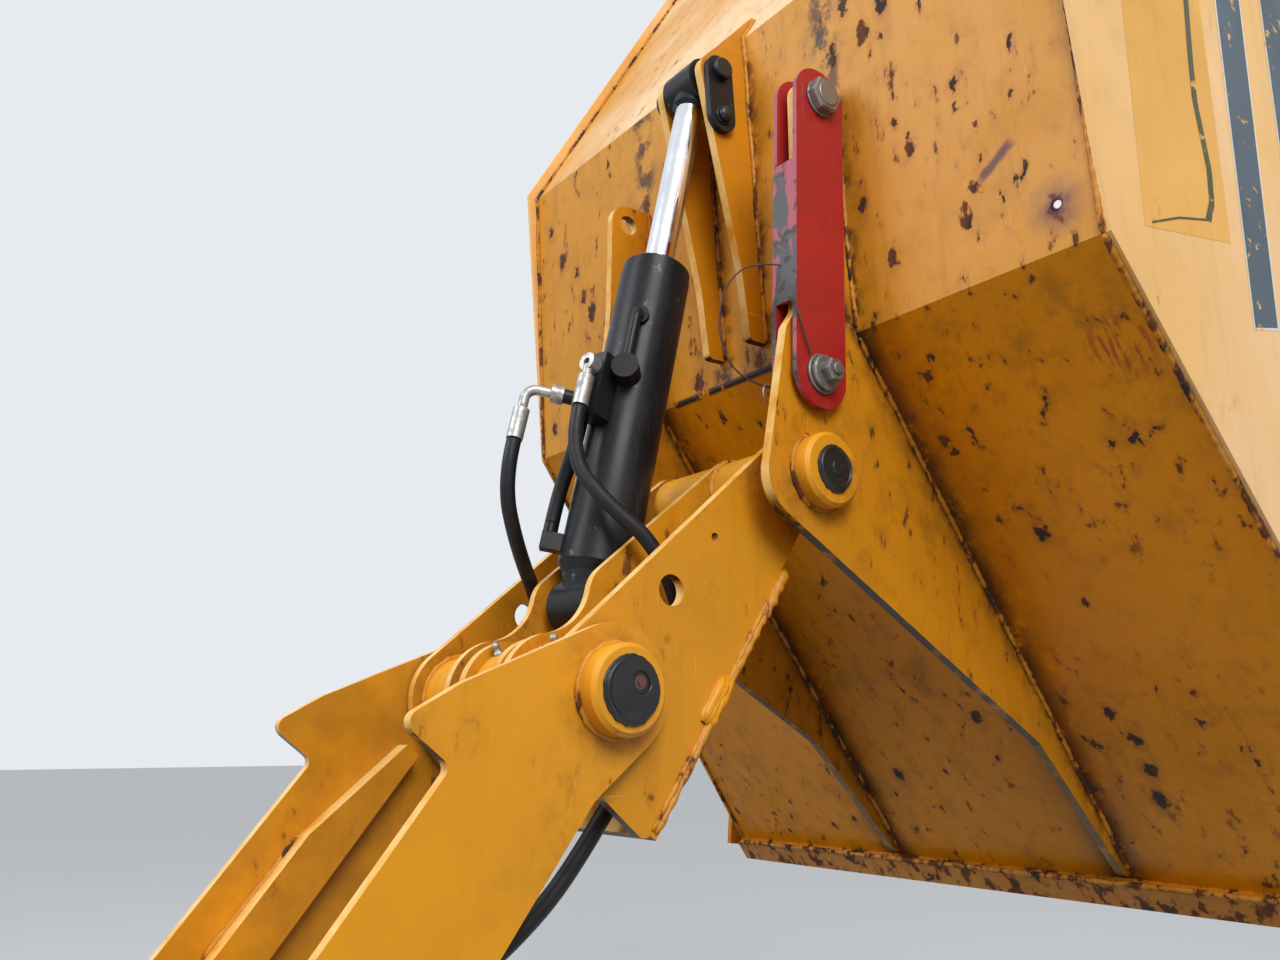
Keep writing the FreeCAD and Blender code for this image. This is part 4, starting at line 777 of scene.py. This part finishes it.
form = bmesh.new()
for side in (1, -1):
    for y in (0.1323, 0.0607, 0.0493):
        bead(form, circle(KNUCKLE, 0.0485, side * y), 0.0032, True, y * 40)
    for y in (0.1457, 0.1323, 0.0607):
        bead(form, circle(PIVOT, 0.0405, side * y), 0.0032, True, y * 70)
    # the cover plate's ragged seam along the head's front edge
    front = [out(FRONT_LOW, side * FRONT_SIDE), out(FRONT_HIGH, side * FRONT_SIDE)]
    bead(form, front, 0.0040, seed=3.1 * side, step=0.006, rough=1.5)
    shifted = [point + Vector((-0.003, 0, 0.002)) for point in front]
    bead(form, shifted, 0.0030, seed=4.7 * side, step=0.007, rough=1.7)
    blob = [front[0].lerp(front[1], share) for share in (0.82, 1.03)]
    bead(form, blob, 0.0068, seed=1.1, step=0.006, rough=1.6)
finish_piece("head_weld_beads", "knuckle_head", form, weld_paint)

form = bmesh.new()
for side in (1, -1):
    for shift in (0.0, 0.0050, 0.0095):
        begin = Vector((0.5520, side * 0.1460, 0.5230)) + Vector((-0.8 * shift, 0, 0.6 * shift))
        end = begin + Vector((0.0340, 0, 0.0490)) * (1 - 9 * shift)
        bead(form, [begin, end], 0.0058, seed=0.2 + shift, step=0.009, rough=0.5)
finish_piece("head_weld_repair", "knuckle_head", form, arm_paint)


# Pins, with worn hollow ends and grease squeezed out round them

def rise(distance, radius, slope):
    """1 well inside a radius, 0 outside it, with a slope between."""
    return min(1.0, max(0.0, (radius - distance) / slope))


def knuckle_height(u, v):
    """Slightly crowned face with a bolt hollow off its middle and a dent at its edge."""
    crown = 0.0015 * (1 - (math.hypot(u, v) / 0.03) ** 2)
    hollow, dent = math.hypot(u - 0.007, v - 0.006), math.hypot(u + 0.004, v + 0.020)
    return (crown - 0.006 * rise(hollow, 0.0105, 0.002) + 0.003 * rise(hollow, 0.006, 0.0012)
            - 0.0022 * rise(dent, 0.012, 0.012))


def pivot_height(u, v):
    """Dished face with a raised middle and a small hollow in it."""
    r, hollow = math.hypot(u, v), math.hypot(u - 0.004, v - 0.004)
    return (0.0045 * rise(r, 0.010, 0.002) - 0.004 * rise(r, 0.021, 0.003)
            - 0.002 * rise(hollow, 0.004, 0.004))


# Name, body, centre, radius, half length and end face of each pin, and where its grease lies
for name, body, centre, radius, half, height, grease_y in (
        ("knuckle_pin", "lift_arm", KNUCKLE, 0.030, 0.1922, knuckle_height, 0.1872),
        ("skip_pivot_pin", "skip", PIVOT, 0.025, 0.2212, pivot_height, 0.2162)):
    form = bmesh.new()
    turned(form, out(centre, -half), ACROSS, [
        (radius - 0.004, 0.0020), (radius - 0.003, 0.0), (radius, 0.003), (radius, 2 * half - 0.003),
        (radius - 0.003, 2 * half), (radius - 0.004, 2 * half - 0.0020)], 64)
    for side in (1, -1):
        relief(form, centre, side * half, side, radius - 0.003, height)
    finish_piece(name + "_worn", body, form, pin_steel, [name])
    form = bmesh.new()
    for side in (1, -1):
        bead(form, circle(centre, radius, side * grease_y), 0.0016, True, 2.3 + side, rough=1.2)
        lump = circle(centre, radius - 0.0005, side * grease_y)[34:48]
        bead(form, lump, 0.0028, seed=4.1 + side, rough=1.4)
    finish_piece(name + "_grease", body, form, pin_steel)

form = bmesh.new()
for side in (1, -1):
    hollow_at = out(KNUCKLE + Vector((0.007, 0, 0.006)), side * 0.1880)
    turned(form, hollow_at, (0, side, 0), [(0.0075, 0.0), (0.0075, 0.0016), (0.0060, 0.0026)], 24)
finish_piece("knuckle_pin_plugs", "lift_arm", form, rusty_steel)

# Bolt and pin of the strut, with hexagons. Distances run to the right from the middle plane

RIGHTWARD = (0, -1, 0)


def bolt_head(form, origin):
    """Big hexagon with a low crown."""
    hexagon(form, origin, RIGHTWARD, 0.041, 0.2094, 0.2205, 0.003)
    turned(form, origin, RIGHTWARD, [(0.016, 0.2203), (0.016, 0.2212), (0.014, 0.2216)])


def pin_head(form, origin):
    """Collar with a smaller hexagon and a thread's end on it, a little off its middle."""
    turned(form, origin, RIGHTWARD, [(0.0205, 0.2094), (0.0205, 0.2140), (0.0185, 0.2155)], 48)
    beside = origin + Vector((0.002, 0, 0.001))
    hexagon(form, beside, RIGHTWARD, 0.024, 0.2150, 0.2270)
    turned(form, beside, RIGHTWARD, [(0.007, 0.2265), (0.007, 0.2290), (0.005, 0.2300)], 24)


for name, origin, head in (("strut_top_bolt", STRUT_TOP, bolt_head), ("strut_foot_pin", STRUT_FOOT, pin_head)):
    form = bmesh.new()
    # shank and outer washer
    turned(form, origin, RIGHTWARD, [(0.0145, 0.168), (0.0145, 0.2064)])
    turned(form, origin, RIGHTWARD, [(0.0235, 0.2063), (0.0235, 0.2085), (0.0225, 0.2095)], 48)
    head(form, origin)
    # inner washer, nut and thread's end
    turned(form, origin, RIGHTWARD, [(0.0205, 0.1658), (0.0205, 0.1676)])
    hexagon(form, origin, ACROSS, 0.036, -0.1660, -0.1570)
    turned(form, origin, ACROSS, [(0.0140, -0.1572), (0.0140, -0.1530), (0.0120, -0.1515)], 32)
    finish_piece(name + "_hexagon", "skip", form, bolt_steel, [name])

# Ring and split pin of the strut's clip

form = bmesh.new()
clip_ring = [Vector((0.6500, -0.1470, 0.8930)) + 0.011 * Vector((math.cos(a), 0.3 * math.cos(a), math.sin(a)))
             for a in [k * math.tau / 24 for k in range(24)]]
bead(form, clip_ring, 0.0011, True, 0.3, 0.002, 0.1)
turned(form, (0.6620, -0.1490, 0.8990), (0.2, 0.3, 1.0),
       [(0.0022, -0.018), (0.0022, 0.020), (0.0012, 0.022)], 16)
finish_piece("strut_pin_clip", "skip", form, zinc)

# Washer and domed head of the bolt that holds the rod pin's keeper, and the head's grease nipples

KEEPER_BOLT = Vector((0.6762, -0.0553, 1.3172))
form = bmesh.new()
turned(form, KEEPER_BOLT, RIGHTWARD, [(0.0135, -0.0005), (0.0135, 0.0018), (0.0125, 0.0024)], 36)
turned(form, KEEPER_BOLT, RIGHTWARD, [
    (0.0110, 0.002), (0.0110, 0.0060), (0.0095, 0.0090), (0.0060, 0.0108), (0.0010, 0.0112)], 36)
finish_piece("keeper_bolt", "skip", form, pin_steel)

NIPPLE = [(0.0055, -0.002), (0.0055, 0.003), (0.0035, 0.0035), (0.0035, 0.0075), (0.0045, 0.009),
          (0.0045, 0.0105), (0.0030, 0.0125), (0.0015, 0.0135)]
NIPPLE_WAY, KNUCKLE_TUBE_RADIUS = Vector((-0.45, 0, 0.89)).normalized(), 0.048
form = bmesh.new()
for y in (0.016, -0.096):
    turned(form, out(KNUCKLE, y) + NIPPLE_WAY * KNUCKLE_TUBE_RADIUS, NIPPLE_WAY, NIPPLE, 20)
finish_piece("head_grease_nipples", "knuckle_head", form, zinc)


# Stripes on the skip's sides, and the mark that an old sticker left

# Corners in metres forwards and up from the heel, on the side's outer face
STRIPE, STRIPE_STEP = [(0.291, 0.440), (0.344, 0.440), (0.275, -0.054), (0.229, -0.061)], 0.104
STICKER_MARK = [(0.098, 0.420), (0.250, 0.420), (0.212, 0.031), (0.057, 0.017)]
OLD_LINE = [(0.211, 0.420), (0.213, 0.329), (0.199, 0.248), (0.192, 0.196), (0.193, 0.172), (0.195, 0.113),
            (0.188, 0.072), (0.175, 0.050), (0.120, 0.040), (0.070, 0.024)]


def side_place(forward, up, side, proud):
    """A place on the outer face of the skip's side, from the heel forwards and up along the lower back."""
    place = HEEL + BACK_IN * forward + BACK_WAY * up
    return out(place, side * (SIDE_AT_HEEL + SIDE_THICK + SIDE_FLARE * forward + proud))


def decal(form, corners, side, proud, rows=24):
    """A thin sheet between four corners on the side, divided so that its material can wear."""
    (ax, az), (bx, bz), (cx, cz), (dx, dz) = corners
    grid = []
    for share in [i / rows for i in range(rows + 1)]:
        ends = ((ax + (dx - ax) * share, az + (dz - az) * share),
                (bx + (cx - bx) * share, bz + (cz - bz) * share))
        grid.append([form.verts.new(side_place(x, z, side, proud)) for x, z in ends])
    for first, second in zip(grid, grid[1:]):
        form.faces.new((first[0], first[1], second[1], second[0]))


def sticker(name, colour, wear):
    """Thin coloured film, rubbed and chipped through to the paint."""
    s = Shader(name)
    clouds = s.noise(7.0, 4.0, 0.6)
    base = s.mix(s.ramp(clouds, 0.35, 0.7), colour, darker(colour, 0.85))
    chips = s.ramp(s.noise(48.0, 4.0, 0.65), 0.62 - 0.1 * wear, 0.66 - 0.1 * wear)
    s.set("Base Color", s.mix(chips, base, (0.720, 0.400, 0.090, 1)))
    s.set("Roughness", s.ramp(clouds, 0.3, 0.7, 0.38, 0.52))
    s.bump(s.noise(90.0, 3.0), 0.08, 0.0005)
    return s.material


stripe_blue = sticker("stripe_dark_blue", (0.058, 0.092, 0.125, 1), 0.0)
stripe_white = sticker("stripe_border_pale", (0.800, 0.760, 0.660, 1), 0.2)
line_green = sticker("line_dark_green", (0.055, 0.066, 0.014, 1), 0.15)

for name, finish, margin, proud in (("side_stripe_borders", stripe_white, 0.0032, 0.0003),
                                    ("side_stripes", stripe_blue, 0.0, 0.0006)):
    form = bmesh.new()
    widened = [(x + margin * wide, z + margin * tall)
               for (x, z), (wide, tall) in zip(STRIPE, ((-1, 1), (1, 1), (1, -1), (-1, -1)))]
    for side in (1, -1):
        for shift in (0.0, STRIPE_STEP):
            decal(form, [(x + shift, z) for x, z in widened], side, proud)
    finish_piece(name, "skip", form, finish)

form = bmesh.new()
for side in (1, -1):
    for (x0, z0), (x1, z1) in zip(OLD_LINE, OLD_LINE[1:]):
        run = Vector((x1 - x0, z1 - z0))
        wide = Vector((-run.y, run.x)).normalized() * (0.0046 if z1 > 0.04 else 0.0011)
        decal(form, [(x0 + wide.x, z0 + wide.y), (x0 - wide.x, z0 - wide.y), (x1 - wide.x, z1 - wide.y),
                     (x1 + wide.x, z1 + wide.y)], side, 0.0007, 6)
finish_piece("side_old_line", "skip", form, line_green)

form = bmesh.new()
for side in (1, -1):
    decal(form, STICKER_MARK, side, 0.0002)
finish_piece("side_sticker_mark", "skip", form, ghost_paint)


# Lanyards of the strut's pins: thin wires that their clips hang on

LANYARD_RADIUS = 0.001
# Length and points of each wire
LANYARDS = {
    "strut_lanyard_rear": (0.221, [
        (0.6420, -0.1800, 1.0390), (0.6150, -0.1620, 1.0420), (0.5900, -0.1450, 1.0150),
        (0.5850, -0.1350, 0.9700), (0.5950, -0.1350, 0.9300), (0.6200, -0.1400, 0.9050),
        (0.6500, -0.1500, 0.9000)]),
    "strut_lanyard_front": (0.075, [
        (0.6385, -0.1950, 0.9930), (0.6370, -0.2085, 0.9780), (0.6480, -0.2085, 0.9450),
        (0.6560, -0.2085, 0.9240)]),
}
for name, (length, points) in LANYARDS.items():
    wire = routed(name, points, LANYARD_RADIUS)
    wire.data.materials.append(wire_steel)
    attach(wire, "skip")


# Floor and light: pale to the camera and in reflections, duller as a source of light from below

HORIZON, SKYLIGHT, SKY_STRENGTH = (0.80, 0.83, 0.87, 1), (0.95, 0.97, 1.0, 1), 0.62
FLOOR_HALF, FLOOR_LEVEL = 40, -0.45


def seen(tree):
    """1 where a ray comes from the camera, a reflection or through glass, 0 where it gathers light."""
    path = tree.nodes.new("ShaderNodeLightPath")
    shown = path.outputs["Is Camera Ray"]
    for kind in ("Is Glossy Ray", "Is Transmission Ray"):
        either = tree.nodes.new("ShaderNodeMath")
        either.operation = "MAXIMUM"
        tree.links.new(shown, either.inputs[0])
        tree.links.new(path.outputs[kind], either.inputs[1])
        shown = either.outputs[0]
    return shown


floor_mesh = bpy.data.meshes.new("floor")
corners = [(FLOOR_HALF * x, FLOOR_HALF * y, FLOOR_LEVEL) for x, y in ((-1, -1), (1, -1), (1, 1), (-1, 1))]
floor_mesh.from_pydata(corners, [], [(0, 1, 2, 3)])
floor = bpy.data.objects.new("floor", floor_mesh)
scene.collection.objects.link(floor)
ground = Shader("floor_plain", 0.0, 0.9)
pale_ground = ground.mix(ground.noise(0.8), (0.72, 0.73, 0.74, 1), (0.76, 0.77, 0.78, 1))
ground.set("Base Color", ground.mix(seen(ground.tree), (0.14, 0.135, 0.12, 1), pale_ground))
floor.data.materials.append(ground.material)

world = bpy.data.worlds.new("sky")
scene.world = world
world.use_nodes = True
tree = world.node_tree
background, output = tree.nodes["Background"], tree.nodes["World Output"]
background.inputs["Color"].default_value = SKYLIGHT
background.inputs["Strength"].default_value = SKY_STRENGTH
backdrop = tree.nodes.new("ShaderNodeBackground")
backdrop.inputs["Color"].default_value = HORIZON
backdrop.inputs["Strength"].default_value = 1.0
choose = tree.nodes.new("ShaderNodeMixShader")
tree.links.new(seen(tree), choose.inputs[0])
tree.links.new(background.outputs[0], choose.inputs[1])
tree.links.new(backdrop.outputs[0], choose.inputs[2])
tree.links.new(choose.outputs[0], output.inputs["Surface"])


def area_light(name, place, target, width, power, colour):
    """A round lamp at a place, which looks at a target."""
    data = bpy.data.lights.new(name, "AREA")
    data.shape, data.size, data.energy, data.color = "DISK", width, power, colour
    lamp = bpy.data.objects.new(name, data)
    scene.collection.objects.link(lamp)
    lamp.location = place
    lamp.rotation_euler = (Vector(target) - Vector(place)).to_track_quat("-Z", "Y").to_euler()


area_light("key", (-1.0, -3.4, 3.6), (0.7, 0.0, 1.0), 2.6, 160, (1.0, 0.98, 0.95))
area_light("rim", (-2.8, 1.2, 3.2), (0.7, 0.0, 1.2), 2.4, 80, (0.92, 0.96, 1.0))
